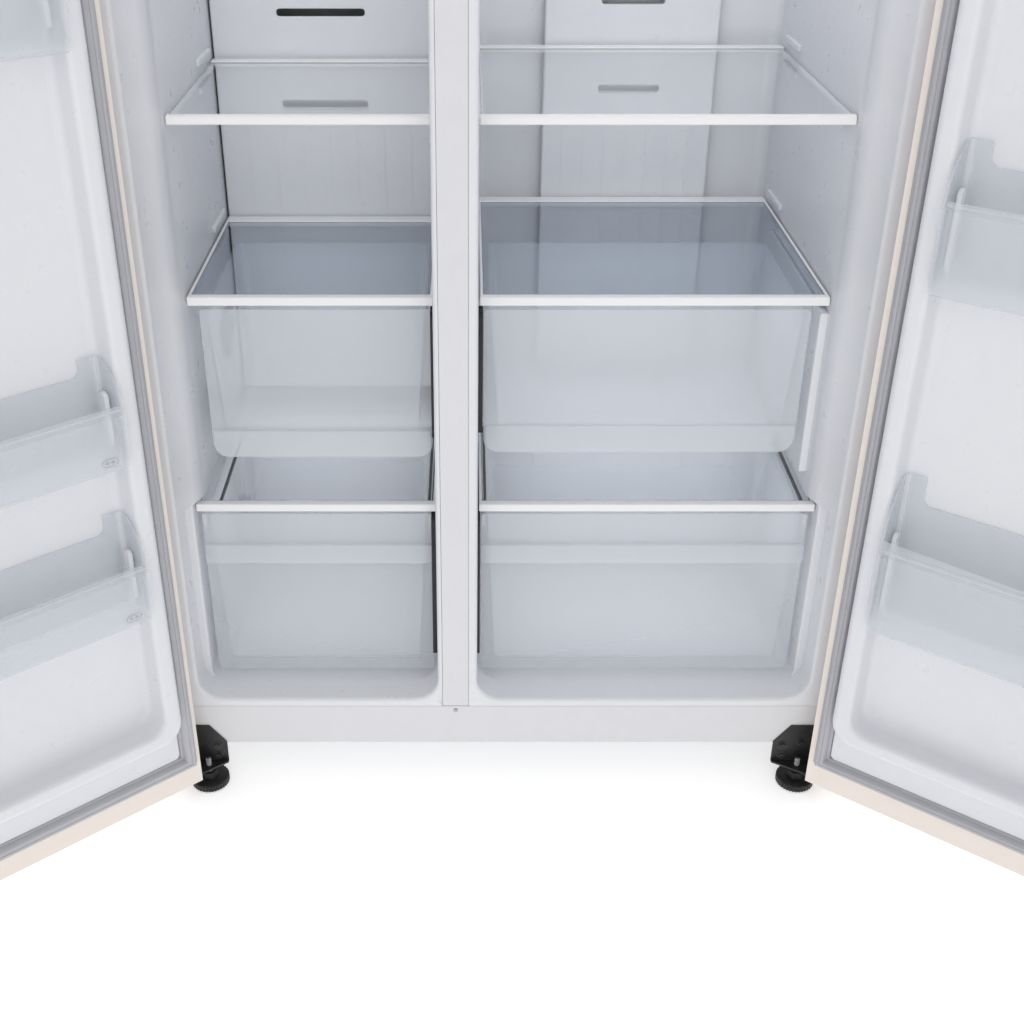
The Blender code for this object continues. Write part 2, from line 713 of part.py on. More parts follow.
def lower_hinge(side, sign):
    """The bracket on the base panel: a flange, a plate under the door, and the pin on the plate."""
    inner = BRACKET_INNER_X[side]
    flange = [
        (sign * BRACKET_OUTER_X, BRACKET_Z),
        (sign * inner, BRACKET_Z),
        (sign * inner, BRACKET_STEP_Z),
        (sign * (inner + BRACKET_CHAMFER), BRACKET_TOP),
        (sign * BRACKET_OUTER_X, BRACKET_TOP),
    ]
    bracket = prism(f"lower_hinge_{side}", flange, "y", BRACKET_FLANGE_Y, -GAP, "black_steel")
    plate = [
        (sign * BRACKET_OUTER_X, -GAP),
        (sign * inner, -GAP),
        (sign * inner, -0.0060),
        (sign * 0.4290, -0.0310),
        (sign * 0.4340, PLATE_FRONT_Y),
        (sign * BRACKET_OUTER_X, PLATE_FRONT_Y),
    ]
    join(bracket, prism(f"lower_plate_{side}", plate, "z", BRACKET_Z, BRACKET_Z + BRACKET_SHEET))
    pin_x, pin_y = pin_place(sign)
    washer_top = DOOR_BOTTOM - 0.0005
    washer_middle = washer_top - 0.0020
    pin_middle = washer_top + 0.0075
    join(
        bracket,
        cylinder(f"lower_washer_{side}", (pin_x, pin_y, washer_middle), PIN_RADIUS + 0.0035, 0.0040, "z", 20),
        cylinder(f"lower_pin_{side}", (pin_x, pin_y, pin_middle), PIN_RADIUS, 0.0240, "z", 20),
    )
    bore_centre = (sign * FOOT_X, FOOT_Y, BRACKET_Z)
    cut(bracket, cylinder(f"foot_bore_{side}", bore_centre, FOOT_BORE, 0.020, "z", 20))


def upper_hinge(side, sign):
    """The plate on the case's top with its pin, and the cap over it."""
    pin_x, pin_y = pin_place(sign)
    low_x, high_x = sorted((sign * 0.4005, sign * BRACKET_OUTER_X))
    top = box(
        f"upper_hinge_{side}",
        (low_x, pin_y - 0.012, UPPER_HINGE_Z[0]),
        (high_x, 0.0900, UPPER_HINGE_Z[1]),
        "zinc_steel",
    )
    pin_middle = UPPER_HINGE_Z[0] - 0.0075
    join(top, cylinder(f"upper_pin_{side}", (pin_x, pin_y, pin_middle), PIN_RADIUS, 0.0170, "z", 20))

    low_x, high_x = sorted((sign * 0.3900, sign * (HALF_WIDTH - SHEET)))
    low_y, high_y = -0.0600, 0.1100
    wall = HINGE_COVER_WALL
    cap = box(
        f"upper_hinge_cover_{side}",
        (low_x, low_y, UPPER_HINGE_Z[0]),
        (high_x, high_y, HINGE_COVER_TOP),
        "white_plastic",
    )
    inside_low = (low_x + wall, low_y + wall, UPPER_HINGE_Z[0] - BEYOND)
    cut(cap, box(f"cap_inside_{side}", inside_low, (high_x - wall, high_y - wall, HINGE_COVER_TOP - wall)))


def make_hinges():
    """The brackets and pins that carry the doors."""
    for side, sign in SIDES.items():
        lower_hinge(side, sign)
        upper_hinge(side, sign)


def make_feet():
    """The levelling feet under the front brackets, and the rollers at the back."""
    foot_profile = [
        (0.0, 0.0440),
        (0.0040, 0.0440),
        (0.0040, 0.0200),
        (0.0100, 0.0200),
        (0.0100, 0.0140),
        (FOOT_RADIUS - 0.002, 0.0130),
        (FOOT_RADIUS, 0.0110),
        (FOOT_RADIUS, 0.0020),
        (FOOT_RADIUS - 0.002, 0.0),
        (0.0, 0.0),
    ]
    for side, sign in SIDES.items():
        stand = make_empty(f"foot_axis_{side}", (sign * FOOT_X, FOOT_Y, 0.0))
        stand.parent = ROOT
        turned(f"levelling_foot_{side}", foot_profile, stand.location, 24, "black_plastic", stand)

        axle = make_empty(f"roller_axis_{side}", (sign * ROLLER_X, ROLLER_Y, ROLLER_RADIUS))
        axle.parent = ROOT
        roller = cylinder(
            f"rear_roller_{side}", axle.location, ROLLER_RADIUS, ROLLER_WIDTH, "x", 32, "black_plastic", axle
        )
        through = cylinder(
            f"roller_axle_{side}", axle.location, AXLE_RADIUS, AXLE_LENGTH, "x", 16, None, axle
        )
        join(roller, through)


# ---------------------------------------------------------------- doors


class Door:
    """One door, drawn closed. Across is measured from its hinge side edge, and out from its inner face."""

    def __init__(self, name, sign, bins):
        self.name = name
        self.sign = sign
        self.bins = bins
        self.width = abs(sign * HALF_WIDTH - DOOR_MEETING_X) - DOOR_HALF_GAP
        self.hinge = make_empty(f"{name}_hinge", (*pin_place(sign), DOOR_BOTTOM))
        self.hinge.parent = ROOT

    def x(self, across):
        """X of the closed door at that distance from its hinge side edge."""
        return self.sign * (HALF_WIDTH - across)

    def box(self, name, across, out, z, material=None):
        """A box in the door's own distances."""
        x = sorted((self.x(across[0]), self.x(across[1])))
        low = (x[0], DOOR_FACE_Y + out[0], z[0])
        high = (x[1], DOOR_FACE_Y + out[1], z[1])
        return box(f"{self.name}_{name}", low, high, material, self.hinge)

    def ring(self, name, inset, width, out, z_inset, radius, material=None):
        """A frame of equal width round the door's inner face, from inset inwards."""
        bars = []
        for label, offset in (("outer", 0.0), ("inner", width)):
            x = sorted((self.x(inset + offset), self.x(self.width - inset - offset)))
            z = (DOOR_BOTTOM + z_inset + offset, DOOR_TOP - z_inset - offset)
            corner = max(radius - offset, 0.006)
            outline = rounded_outline(x, z, corner, corner)
            reach = 0.0 if label == "outer" else 0.010
            start, end = DOOR_FACE_Y + out[0] - reach, DOOR_FACE_Y + out[1] + reach
            made_of = material if label == "outer" else None
            part = f"{self.name}_{name}" if label == "outer" else f"{self.name}_{name}_hole"
            bars.append(prism(part, outline, "y", start, end, made_of, self.hinge))
        return cut(bars[0], bars[1])

    def grip(self, name, grow):
        """The finger groove along the free edge, behind a lip that stops short of the other door."""
        end = self.width + 0.010
        floor = self.width - GRIP_DEPTH - grow
        lip = self.width - GRIP_LIP - grow
        outline = [
            (end, -0.080),
            (end, GRIP_INNER + grow),
            (floor, GRIP_INNER + grow),
            (floor, GRIP_OUTER - grow),
            (lip, GRIP_OUTER - grow),
            (lip, -0.080),
        ]
        placed = [(self.x(across), DOOR_FACE_Y + out) for across, out in outline]
        return prism(f"{self.name}_{name}", placed, "z", GRIP_Z[0] - grow, GRIP_Z[1] + grow, None, self.hinge)

    def pin_holes(self, name):
        """Cutters for the holes that the two hinge pins stand in."""
        pin_x, pin_y = pin_place(self.sign)
        ends = (("low", DOOR_BOTTOM + SHEET + 0.002), ("high", DOOR_TOP - SHEET - 0.002))
        holes = []
        for label, z in ends:
            part = f"{self.name}_{name}_{label}"
            holes.append(
                cylinder(part, (pin_x, pin_y, z), PIN_HOLE_RADIUS, PIN_HOLE_DEPTH, "z", 20, None, self.hinge)
            )
        return holes

    def make_panel(self):
        """The outer sheet: front, sides, and the lip round the inner face."""
        whole = (0.0, self.width)
        panel = self.box("panel", whole, (-DOOR_THICKNESS, 0.0), (DOOR_BOTTOM, DOOR_TOP), "cream_steel")
        void = self.box(
            "void",
            (SHEET, self.width - SHEET),
            (SHEET - DOOR_THICKNESS, -SHEET),
            (DOOR_BOTTOM + SHEET, DOOR_TOP - SHEET),
        )
        cut(void, self.grip("grip_wall", SHEET))
        opening = self.box(
            "face_opening",
            (DOOR_LIP, self.width - DOOR_LIP),
            (-0.010, 0.010),
            (DOOR_BOTTOM + DOOR_BAND, DOOR_TOP - DOOR_BAND),
        )
        cut(panel, void, opening, self.grip("grip", 0.0), *self.pin_holes("panel_bore"))

    def make_insulation(self):
        """The foam inside the door, with its raised ring inside the liner's one."""
        edge = SHEET + GAP
        foam = self.box(
            "insulation",
            (edge, self.width - edge),
            (edge - DOOR_THICKNESS, -edge),
            (DOOR_BOTTOM + edge, DOOR_TOP - edge),
            "foam",
        )
        core = self.ring(
            "foam_dike",
            DIKE_SIDE + LINER + GAP,
            DIKE_WIDTH - 2 * (LINER + GAP),
            (-0.010, DIKE_HEIGHT - LINER - GAP),
            DIKE_BOTTOM + LINER + GAP,
            DIKE_RADIUS - LINER - GAP,
        )
        join(foam, core)
        cut(foam, self.grip("foam_grip", edge), *self.pin_holes("foam_bore"))

    def make_liner(self):
        """The inner sheet with the raised ring that reaches into the compartment."""
        edge = DOOR_LIP + GAP
        liner = self.box(
            "liner",
            (edge, self.width - edge),
            (GAP / 2 - SHEET, 0.0005),
            (DOOR_BOTTOM + DOOR_BAND + GAP, DOOR_TOP - DOOR_BAND - GAP),
            "white_plastic",
        )
        outside = self.ring("dike", DIKE_SIDE, DIKE_WIDTH, (-0.0003, DIKE_HEIGHT), DIKE_BOTTOM, DIKE_RADIUS)
        core = self.ring(
            "dike_core",
            DIKE_SIDE + LINER,
            DIKE_WIDTH - 2 * LINER,
            (-0.020, DIKE_HEIGHT - LINER),
            DIKE_BOTTOM + LINER,
            DIKE_RADIUS - LINER,
        )
        join(liner, outside)
        cut(liner, core)

    def make_gasket(self):
        """The seal round the inner face."""
        inset = DOOR_LIP + 0.0005
        self.ring("gasket", inset, GASKET_WIDTH, (0.0008, GASKET_HEIGHT), DOOR_BAND + 0.0005, 0.006, "gasket")

    def make_bin(self, level, bottom, rail, peak):
        """An open clear bin: low at the front rail, with raised round corners at the back."""
        profile = [
            (BIN_BACK, bottom),
            (BIN_FRONT - 0.004, bottom),
            (BIN_FRONT, bottom + rail),
            (BIN_FRONT - 0.010, bottom + rail + 0.35 * (peak - rail)),
            (BIN_FRONT - 0.026, bottom + rail + 0.70 * (peak - rail)),
            (BIN_BACK + 0.010, bottom + peak),
            (BIN_BACK, bottom + peak),
        ]
        outline = [(DOOR_FACE_Y + out, z) for out, z in profile]
        name = f"bin_{level}"
        start, end = sorted((self.x(BIN_SIDE), self.x(self.width - BIN_SIDE)))
        body = prism(f"{self.name}_{name}", outline, "x", start, end, "clear_plastic", self.hinge)
        side = BIN_SIDE + BIN_WALL
        slope_start = bottom + rail + 0.35 * (peak - rail)
        inside = self.box(
            f"{name}_inside",
            (side, self.width - side),
            (BIN_BACK + BIN_WALL, BIN_FRONT - 0.004 - BIN_WALL),
            (bottom + 0.003, bottom + peak + 0.050),
        )
        notch = self.box(
            f"{name}_back_notch",
            (side + 0.020, self.width - side - 0.020),
            (BIN_BACK - 0.010, BIN_FRONT - 0.010),
            (slope_start, bottom + peak + 0.060),
        )
        cut(body, inside, notch)

    def make(self, open_angle):
        """Makes the door's parts, and turns them open about the hinge."""
        self.make_panel()
        self.make_insulation()
        self.make_liner()
        self.make_gasket()
        for level, sizes in self.bins.items():
            self.make_bin(level, *sizes)
        self.hinge.rotation_euler.z = self.sign * math.radians(open_angle)


# ---------------------------------------------------------------- assembly


def recentre():
    """Moves the whole object, so that the middle of its footprint is over the origin."""
    bpy.context.view_layer.update()
    graph = bpy.context.evaluated_depsgraph_get()
    points = []
    for obj in PARTS.objects:
        if obj.type == "EMPTY":
            continue
        evaluated = obj.evaluated_get(graph)
        points += [obj.matrix_world @ vert.co for vert in evaluated.to_mesh().vertices]
        evaluated.to_mesh_clear()
    for axis in (0, 1):
        values = [point[axis] for point in points]
        ROOT.location[axis] = -(min(values) + max(values)) / 2
    print("case frame sits at", [round(value, 6) for value in ROOT.location])


def main():
    """Builds the whole appliance."""
    make_case()
    make_insulation()
    make_base()
    make_machine_room()
    make_ducts()
    make_shelves()
    make_drawers()
    make_hinges()
    make_feet()
    Door("freezer_door", -1, FREEZER_BINS).make(FREEZER_OPEN_DEG)
    Door("fridge_door", 1, FRIDGE_BINS).make(FRIDGE_OPEN_DEG)
    recentre()


main()
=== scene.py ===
"""The finished look of a side by side refrigerator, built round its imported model.

Sizes are in metres. Unless a docstring says otherwise, places are in the case's own frame: X = 0 is the
middle of the case, Y = 0 is the face that the doors close on, Y grows towards the back and Z = 0 is the
floor. A door has a frame of its own: across from its hinge side edge, out from its inner face, and up.
"""

from __future__ import annotations

import json
import logging
import math
from collections.abc import Iterable, Sequence
from dataclasses import dataclass, field
from enum import Enum

import bmesh
import bpy
from mathutils import Matrix, Vector


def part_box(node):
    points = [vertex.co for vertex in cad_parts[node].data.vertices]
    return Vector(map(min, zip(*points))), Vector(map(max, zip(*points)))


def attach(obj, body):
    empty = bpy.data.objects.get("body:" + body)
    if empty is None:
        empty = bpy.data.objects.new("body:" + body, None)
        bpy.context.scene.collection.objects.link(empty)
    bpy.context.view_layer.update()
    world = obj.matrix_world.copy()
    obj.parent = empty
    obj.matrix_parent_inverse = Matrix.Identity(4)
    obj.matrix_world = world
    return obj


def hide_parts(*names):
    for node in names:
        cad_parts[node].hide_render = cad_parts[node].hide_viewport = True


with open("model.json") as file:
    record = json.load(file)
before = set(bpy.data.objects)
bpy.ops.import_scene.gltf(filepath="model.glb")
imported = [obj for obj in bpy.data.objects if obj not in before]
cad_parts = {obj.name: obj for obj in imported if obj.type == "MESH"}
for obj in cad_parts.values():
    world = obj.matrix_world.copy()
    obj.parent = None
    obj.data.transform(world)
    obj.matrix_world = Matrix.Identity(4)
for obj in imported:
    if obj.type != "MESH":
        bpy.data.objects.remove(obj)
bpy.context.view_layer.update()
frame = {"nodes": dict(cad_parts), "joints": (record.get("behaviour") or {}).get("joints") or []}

Point = Sequence[float]
Outline = list[tuple[float, float]]
Steps = list[tuple[float, float]]
Colour = tuple[float, float, float]

LOG = logging.getLogger("refrigerator")
SHELL_LOW, SHELL_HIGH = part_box("cabinet_shell")
CASE_ORIGIN = Vector(((SHELL_LOW.x + SHELL_HIGH.x) / 2, SHELL_LOW.y, 0.0))
HALF_WIDTH = (SHELL_HIGH.x - SHELL_LOW.x) / 2
AIR = 0.0004


class Axis(Enum):
    """The axis that an outline is drawn across."""

    X = 0
    Y = 1
    Z = 2

    def point(self, along: float, first: float, second: float) -> tuple[float, float, float]:
        """A point from its distance along this axis and its two others in order.

        Args:
            along: The coordinate on this axis.
            first: The first of the two others.
            second: The second.

        Returns:
            The point.
        """
        others = [first, second]
        others.insert(self.value, along)
        return (others[0], others[1], others[2])


class Cut(Enum):
    """What one shape does to another."""

    JOIN = "UNION"
    CARVE = "DIFFERENCE"


# ---- outlines and steps


def arc(centre: Point, radius: float, first: float, last: float, count: int) -> Outline:
    """Points on an arc.

    Args:
        centre: The arc's centre.
        radius: Its radius.
        first: The angle of its first point, in degrees.
        last: The angle of its last point, in degrees.
        count: How many facets it has.

    Returns:
        The points, both ends among them.
    """
    turns = [math.radians(first + (last - first) * step / count) for step in range(count + 1)]
    return [(centre[0] + radius * math.cos(turn), centre[1] + radius * math.sin(turn)) for turn in turns]


@dataclass(frozen=True)
class Plate:
    """A rectangle with round corners.

    Attributes:
        first: The lowest and highest value of its first coordinate.
        second: The lowest and highest value of its second coordinate.
        radii: One radius, or one for each corner: low left, low right, high right, high left.
        facets: How many facets a corner has.
    """

    first: tuple[float, float]
    second: tuple[float, float]
    radii: tuple[float, float, float, float] | float
    facets: int = 6

    def outline(self, inset: float = 0.0) -> Outline:
        """Its points in order, or those of the rectangle that stands in from it by inset.

        Args:
            inset: How far the inner rectangle stands in.

        Returns:
            The points.
        """
        given = [self.radii] * 4 if isinstance(self.radii, (int, float)) else list(self.radii)
        four = [max(radius - inset, 0.0002) for radius in given]
        left, right = self.first[0] + inset, self.first[1] - inset
        low, high = self.second[0] + inset, self.second[1] - inset
        corners = (
            (left + four[0], low + four[0], 180.0),
            (right - four[1], low + four[1], 270.0),
            (right - four[2], high - four[2], 0.0),
            (left + four[3], high - four[3], 90.0),
        )
        points: Outline = []
        for (across, up, start), radius in zip(corners, four):
            points += arc((across, up), radius, start, start + 90.0, self.facets)
        return points


def shoulder(radius: float, count: int = 5) -> Steps:
    """The insets and advances that turn from a wall onto the face at its end, by a quarter round."""
    turns = [math.pi / 2 * step / count for step in range(count + 1)]
    return [
        (radius * (math.cos(a) - math.cos(b)), radius * (math.sin(b) - math.sin(a)))
        for a, b in zip(turns, turns[1:])
    ]


def flare(radius: float, count: int = 5) -> Steps:
    """The insets and advances that turn from a face into a wall, by a quarter round."""
    return [(advance, inset) for inset, advance in shoulder(radius, count)]


# ---- placing and meshes


@dataclass(frozen=True)
class Seat:
    """A body, and where a sub-assembly's own coordinates lie in the row frame."""

    body: str
    place: Matrix

    def box(self, *nodes: str) -> tuple[Vector, Vector]:
        """The lowest and highest corner of CAD nodes in this seat's coordinates."""
        undo = self.place.inverted()
        points = [undo @ vert.co for node in nodes for vert in frame["nodes"][node].data.vertices]
        low = Vector([min(point[axis] for point in points) for axis in range(3)])
        high = Vector([max(point[axis] for point in points) for axis in range(3)])
        return low, high


def in_case(body: str = "cabinet") -> Seat:
    """A seat whose coordinates are the case's."""
    return Seat(body, Matrix.Translation(CASE_ORIGIN))


class Shape:
    """A mesh in the making, in its sub-assembly's own coordinates."""

    def __init__(self) -> None:
        """Starts with nothing in it."""
        self.bm = bmesh.new()

    @classmethod
    def of_node(cls, node: str, seat: Seat, flat_angle: float = 0.5) -> Shape:
        """A merged copy of a CAD node.

        Args:
            node: The node's name.
            seat: The seat whose coordinates the copy is in.
            flat_angle: Faces that meet at less than this angle, in degrees, become one.

        Returns:
            The copy.
        """
        shape = cls()
        shape.bm.from_mesh(frame["nodes"][node].data)
        bmesh.ops.transform(shape.bm, matrix=seat.place.inverted(), verts=shape.bm.verts)
        if seat.place.determinant() < 0:
            bmesh.ops.reverse_faces(shape.bm, faces=shape.bm.faces)
        bmesh.ops.remove_doubles(shape.bm, verts=shape.bm.verts, dist=0.00002)
        shape.flatten(flat_angle)
        return shape

    def flatten(self, angle: float = 0.5) -> Shape:
        """Makes one face of the faces that lie in one plane."""
        bmesh.ops.dissolve_limit(
            self.bm, angle_limit=math.radians(angle), verts=self.bm.verts, edges=self.bm.edges
        )
        return self

    def round_edges(self, edges: Iterable[bmesh.types.BMEdge], width: float, segments: int) -> None:
        """Rounds the edges given."""
        bmesh.ops.bevel(
            self.bm,
            geom=list(edges),
            offset=width,
            offset_type="OFFSET",
            segments=segments,
            profile=0.5,
            affect="EDGES",
            clamp_overlap=True,
            material=-1,
        )

    def block(self, low: Point, high: Point, edge: float = 0.0, segments: int = 2) -> Shape:
        """Adds a box between two corners, with its edges rounded by edge.

        Args:
            low: Its low corner.
            high: Its high corner.
            edge: The radius of its edges.
            segments: How many facets that has.

        Returns:
            This shape.
        """
        low_corner, high_corner = Vector(low), Vector(high)
        verts = bmesh.ops.create_cube(self.bm, size=1.0)["verts"]
        bmesh.ops.scale(self.bm, vec=high_corner - low_corner, verts=verts)
        bmesh.ops.translate(self.bm, vec=(low_corner + high_corner) / 2, verts=verts)
        if edge:
            self.round_edges({e for vert in verts for e in vert.link_edges}, edge, segments)
        return self

    def loft(self, rings: Sequence[Sequence[Point]], ends: bool = True) -> Shape:
        """Adds a form through rings of points.

        Args:
            rings: The rings, all with the same number of points in the same order.
            ends: True for a face in the first and in the last ring. Otherwise the last ring joins the first.

        Returns:
            This shape.
        """
        rows = [[self.bm.verts.new(point) for point in ring] for ring in rings]
        made = []
        following = rows[1:] if ends else [*rows[1:], rows[0]]
        for row, after in zip(rows, following):
            for number in range(len(row)):
                corners = (row[number - 1], row[number], after[number], after[number - 1])
                made.append(self.bm.faces.new(corners))
        if ends:
            made += [self.bm.faces.new(rows[0]), self.bm.faces.new(rows[-1])]
        bmesh.ops.recalc_face_normals(self.bm, faces=made)
        return self

    def rise(
        self, plate: Plate, axis: Axis, start: float, steps: Steps, back: bool = False, ends: bool = True
    ) -> Shape:
        """Adds a form that grows from a rectangle with round corners.

        Args:
            plate: Its first ring.
            axis: The axis that it grows along.
            start: Where on that axis the first ring lies.
            steps: An inset and an advance for each ring after the first.
            back: True if it grows towards lower values.
            ends: False for a ring that closes on itself.

        Returns:
            This shape.
        """
        along, inset = start, 0.0
        rings = [[axis.point(along, a, b) for a, b in plate.outline()]]
        for further_in, advance in steps:
            inset += further_in
            along += -advance if back else advance
            rings.append([axis.point(along, a, b) for a, b in plate.outline(inset)])
        return self.loft(rings, ends)

    def prism(
        self, outline: Outline, axis: Axis, start: float, end: float, edge: float = 0.0, segments: int = 2
    ) -> Shape:
        """Adds an outline drawn out from start to end, with its edges rounded by edge.

        Args:
            outline: The outline.
            axis: The axis that it is drawn out along.
            start: Where it starts.
            end: Where it ends.
            edge: The radius of its edges.
            segments: How many facets that has.

        Returns:
            This shape.
        """
        known = set(self.bm.verts)
        self.loft([[axis.point(along, a, b) for a, b in outline] for along in (start, end)])
        if edge:
            new_edges = {e for vert in self.bm.verts if vert not in known for e in vert.link_edges}
            self.round_edges([e for e in new_edges if e.calc_face_angle(0.0) > 0.7], edge, segments)
        return self

    def turn(self, profile: Sequence[Point], centre: Point, axis: Axis = Axis.Z, sides: int = 32) -> Shape:
        """Adds a profile of (radius, distance along the axis) points, turned about an axis through centre.

        Args:
            profile: Pairs of a radius and a distance along the axis.
            centre: A point on the axis.
            axis: The axis.
            sides: How many sides the form has.

        Returns:
            This shape.
        """
        pole = Vector(axis.point(1.0, 0.0, 0.0))
        radial = Vector(axis.point(0.0, 1.0, 0.0))
        known = set(self.bm.faces)
        verts = [self.bm.verts.new(Vector(centre) + radial * r + pole * up) for r, up in profile]
        edges = [self.bm.edges.new(pair) for pair in zip(verts, verts[1:])]
        bmesh.ops.spin(
            self.bm,
            geom=[*verts, *edges],
            cent=centre,
            axis=pole,
            angle=math.tau,
            steps=sides,
            use_merge=True,
        )
        new_faces = [face for face in self.bm.faces if face not in known]
        new_verts = {vert for face in new_faces for vert in face.verts}
        bmesh.ops.remove_doubles(self.bm, verts=list(new_verts), dist=0.00001)
        bmesh.ops.recalc_face_normals(self.bm, faces=[face for face in self.bm.faces if face not in known])
        return self

    def add(self, other: Shape) -> Shape:
        """Takes in another shape's mesh, and empties that shape.

        Args:
            other: The shape to copy in.

        Returns:
            This shape.
        """
        mesh = bpy.data.meshes.new("taken_in")
        other.bm.to_mesh(mesh)
        other.bm.free()
        self.bm.from_mesh(mesh)
        bpy.data.meshes.remove(mesh)
        return self

    def combine(self, operation: Cut, *others: Shape) -> Shape:
        """Joins the others to this shape, or carves them out of it.

        Args:
            operation: Which of the two.
            *others: The other shapes, which are used up.

        Returns:
            This shape.
        """
        objects = []
        for shape in (self, *others):
            bmesh.ops.recalc_face_normals(shape.bm, faces=shape.bm.faces)
            mesh = bpy.data.meshes.new("blank")
            shape.bm.to_mesh(mesh)
            shape.bm.free()
            obj = bpy.data.objects.new("blank", mesh)
            bpy.context.scene.collection.objects.link(obj)
            objects.append(obj)
        for tool in objects[1:]:
            modifier = objects[0].modifiers.new("combine", "BOOLEAN")
            modifier.operation = operation.value
            modifier.object = tool
        evaluated = objects[0].evaluated_get(bpy.context.evaluated_depsgraph_get())
        result = bpy.data.meshes.new_from_object(evaluated)
        self.bm = bmesh.new()
        self.bm.from_mesh(result)
        for obj in objects:
            mesh = obj.data
            bpy.data.objects.remove(obj)
            bpy.data.meshes.remove(mesh)
        bpy.data.meshes.remove(result)
        bmesh.ops.remove_doubles(self.bm, verts=self.bm.verts, dist=0.00001)
        return self

    def soften(self, width: float, segments: int = 2, angle: float = 40.0) -> Shape:
        """Rounds every edge whose faces meet at more than angle degrees.

        Args:
            width: The radius.
            segments: How many facets it has.
            angle: The least angle of an edge to round, in degrees.

        Returns:
            This shape.
        """
        limit = math.radians(angle)
        sharp = [e for e in self.bm.edges if e.is_manifold and e.calc_face_angle(0.0) > limit]
        self.round_edges(sharp, width, segments)
        return self

    def move(self, matrix: Matrix) -> Shape:
        """Moves everything in the shape."""
        bmesh.ops.transform(self.bm, matrix=matrix, verts=self.bm.verts)
        return self

    def put(
        self,
        name: str,
        seat: Seat,
        finish: Finish,
        *replaced: str,
        smooth: float = 35.0,
        wall: float = 0.0,
    ) -> bpy.types.Object:
        """Makes the finished piece.

        Args:
            name: The piece's name.
            seat: The body that it rides on, and the coordinates that it was built in.
            finish: Its material.
            *replaced: The CAD nodes that it stands for.
            smooth: Edges sharper than this many degrees stay sharp.
            wall: The thickness behind an open surface, or 0 for a closed form.

        Returns:
            The piece.
        """
        bmesh.ops.transform(self.bm, matrix=seat.place, verts=self.bm.verts)
        if seat.place.determinant() < 0:
            bmesh.ops.reverse_faces(self.bm, faces=self.bm.faces)
        if not wall:
            bmesh.ops.recalc_face_normals(self.bm, faces=self.bm.faces)
        many_sided = [face for face in self.bm.faces if len(face.verts) > 4]
        bmesh.ops.triangulate(self.bm, faces=many_sided, ngon_method="EAR_CLIP")
        mesh = bpy.data.meshes.new(name)
        self.bm.to_mesh(mesh)
        self.bm.free()
        mesh.materials.append(finish.material())
        mesh.shade_smooth()
        mesh.set_sharp_from_angle(angle=math.radians(smooth))
        obj = bpy.data.objects.new(name, mesh)
        bpy.context.scene.collection.objects.link(obj)
        if wall:
            solidify = obj.modifiers.new("wall", "SOLIDIFY")
            solidify.thickness = wall
            solidify.offset = -1.0
            solidify.use_even_offset = False
        weighted = obj.modifiers.new("flat_faces", "WEIGHTED_NORMAL")
        weighted.keep_sharp = True
        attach(obj, seat.body)
        if replaced:
            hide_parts(*replaced)
        LOG.info("%s on %s, %d faces", name, seat.body, len(mesh.polygons))
        return obj


# ---- finishes


class Net:
    """Makes and links the nodes of one tree."""

    def __init__(self, tree: bpy.types.NodeTree) -> None:
        """Works on the tree given."""
        self.tree = tree

    def add(
        self, kind: str, values: dict[str | int, object] | None = None, **settings: object
    ) -> bpy.types.Node:
        """Adds a node.

        Args:
            kind: The node's type, without its ShaderNode prefix.
            values: For each input by name or number, a value or the socket that feeds it.
            **settings: The node's own properties.

        Returns:
            The node.
        """
        prefix = "" if kind.startswith("Node") else "ShaderNode"
        node = self.tree.nodes.new(prefix + kind)
        for key, value in settings.items():
            setattr(node, key, value)
        for key, value in (values or {}).items():
            if isinstance(value, bpy.types.NodeSocket):
                self.tree.links.new(value, node.inputs[key])
            else:
                node.inputs[key].default_value = value
        return node

    def blend(self, factor: object, first: object, second: object) -> bpy.types.NodeSocket:
        """Mixes two colours, each a value or a socket, and returns the mixed one.

        Args:
            factor: The share of the second.
            first: The first colour.
            second: The second colour.

        Returns:
            The mixed colour.
        """
        node = self.tree.nodes.new("ShaderNodeMix")
        node.data_type = "RGBA"
        for number, value in ((0, factor), (6, first), (7, second)):
            if isinstance(value, bpy.types.NodeSocket):
                self.tree.links.new(value, node.inputs[number])
            elif number == 0:
                node.inputs[0].default_value = value
            else:
                node.inputs[number].default_value = (*value, 1.0)
        return node.outputs[2]


def open_group(name: str, inputs: dict[str, str], outputs: dict[str, str]) -> tuple[Net, dict, dict]:
    """Starts a shader node group.

    Args:
        name: The group's name.
        inputs: The kind of each input socket: Float, Color or Vector.
        outputs: The kind of each output socket.

    Returns:
        The net that fills it, its input sockets and its output sockets by name.
    """
    group = bpy.data.node_groups.new(name, "ShaderNodeTree")
    for sockets, side in ((inputs, "INPUT"), (outputs, "OUTPUT")):
        for label, kind in sockets.items():
            group.interface.new_socket(name=label, in_out=side, socket_type=f"NodeSocket{kind}")
    net = Net(group)
    source = net.add("NodeGroupInput")
    target = net.add("NodeGroupOutput")
    return net, {s.name: s for s in source.outputs if s.name}, {s.name: s for s in target.inputs if s.name}


class Effect(Enum):
    """The node groups that finishes share."""

    MOTTLE = "mottled_colour"
    SKIN = "moulded_skin"
    WEAR = "edge_wear"
    DUST = "settled_dust"
    # painted shade along the edges of clear parts, standing in for refraction
    PAINTED_EDGE_SHADE = "deep_rim"

    def group(self) -> bpy.types.NodeTree:
        """The group, made the first time that it is asked for."""
        known = bpy.data.node_groups.get(self.value)
        if known:
            return known
        makers = {
            Effect.MOTTLE: make_mottle,
            Effect.SKIN: make_skin,
            Effect.WEAR: make_wear,
            Effect.DUST: make_dust,
            Effect.PAINTED_EDGE_SHADE: make_painted_edge_shade,
        }
        return makers[self](self.value)


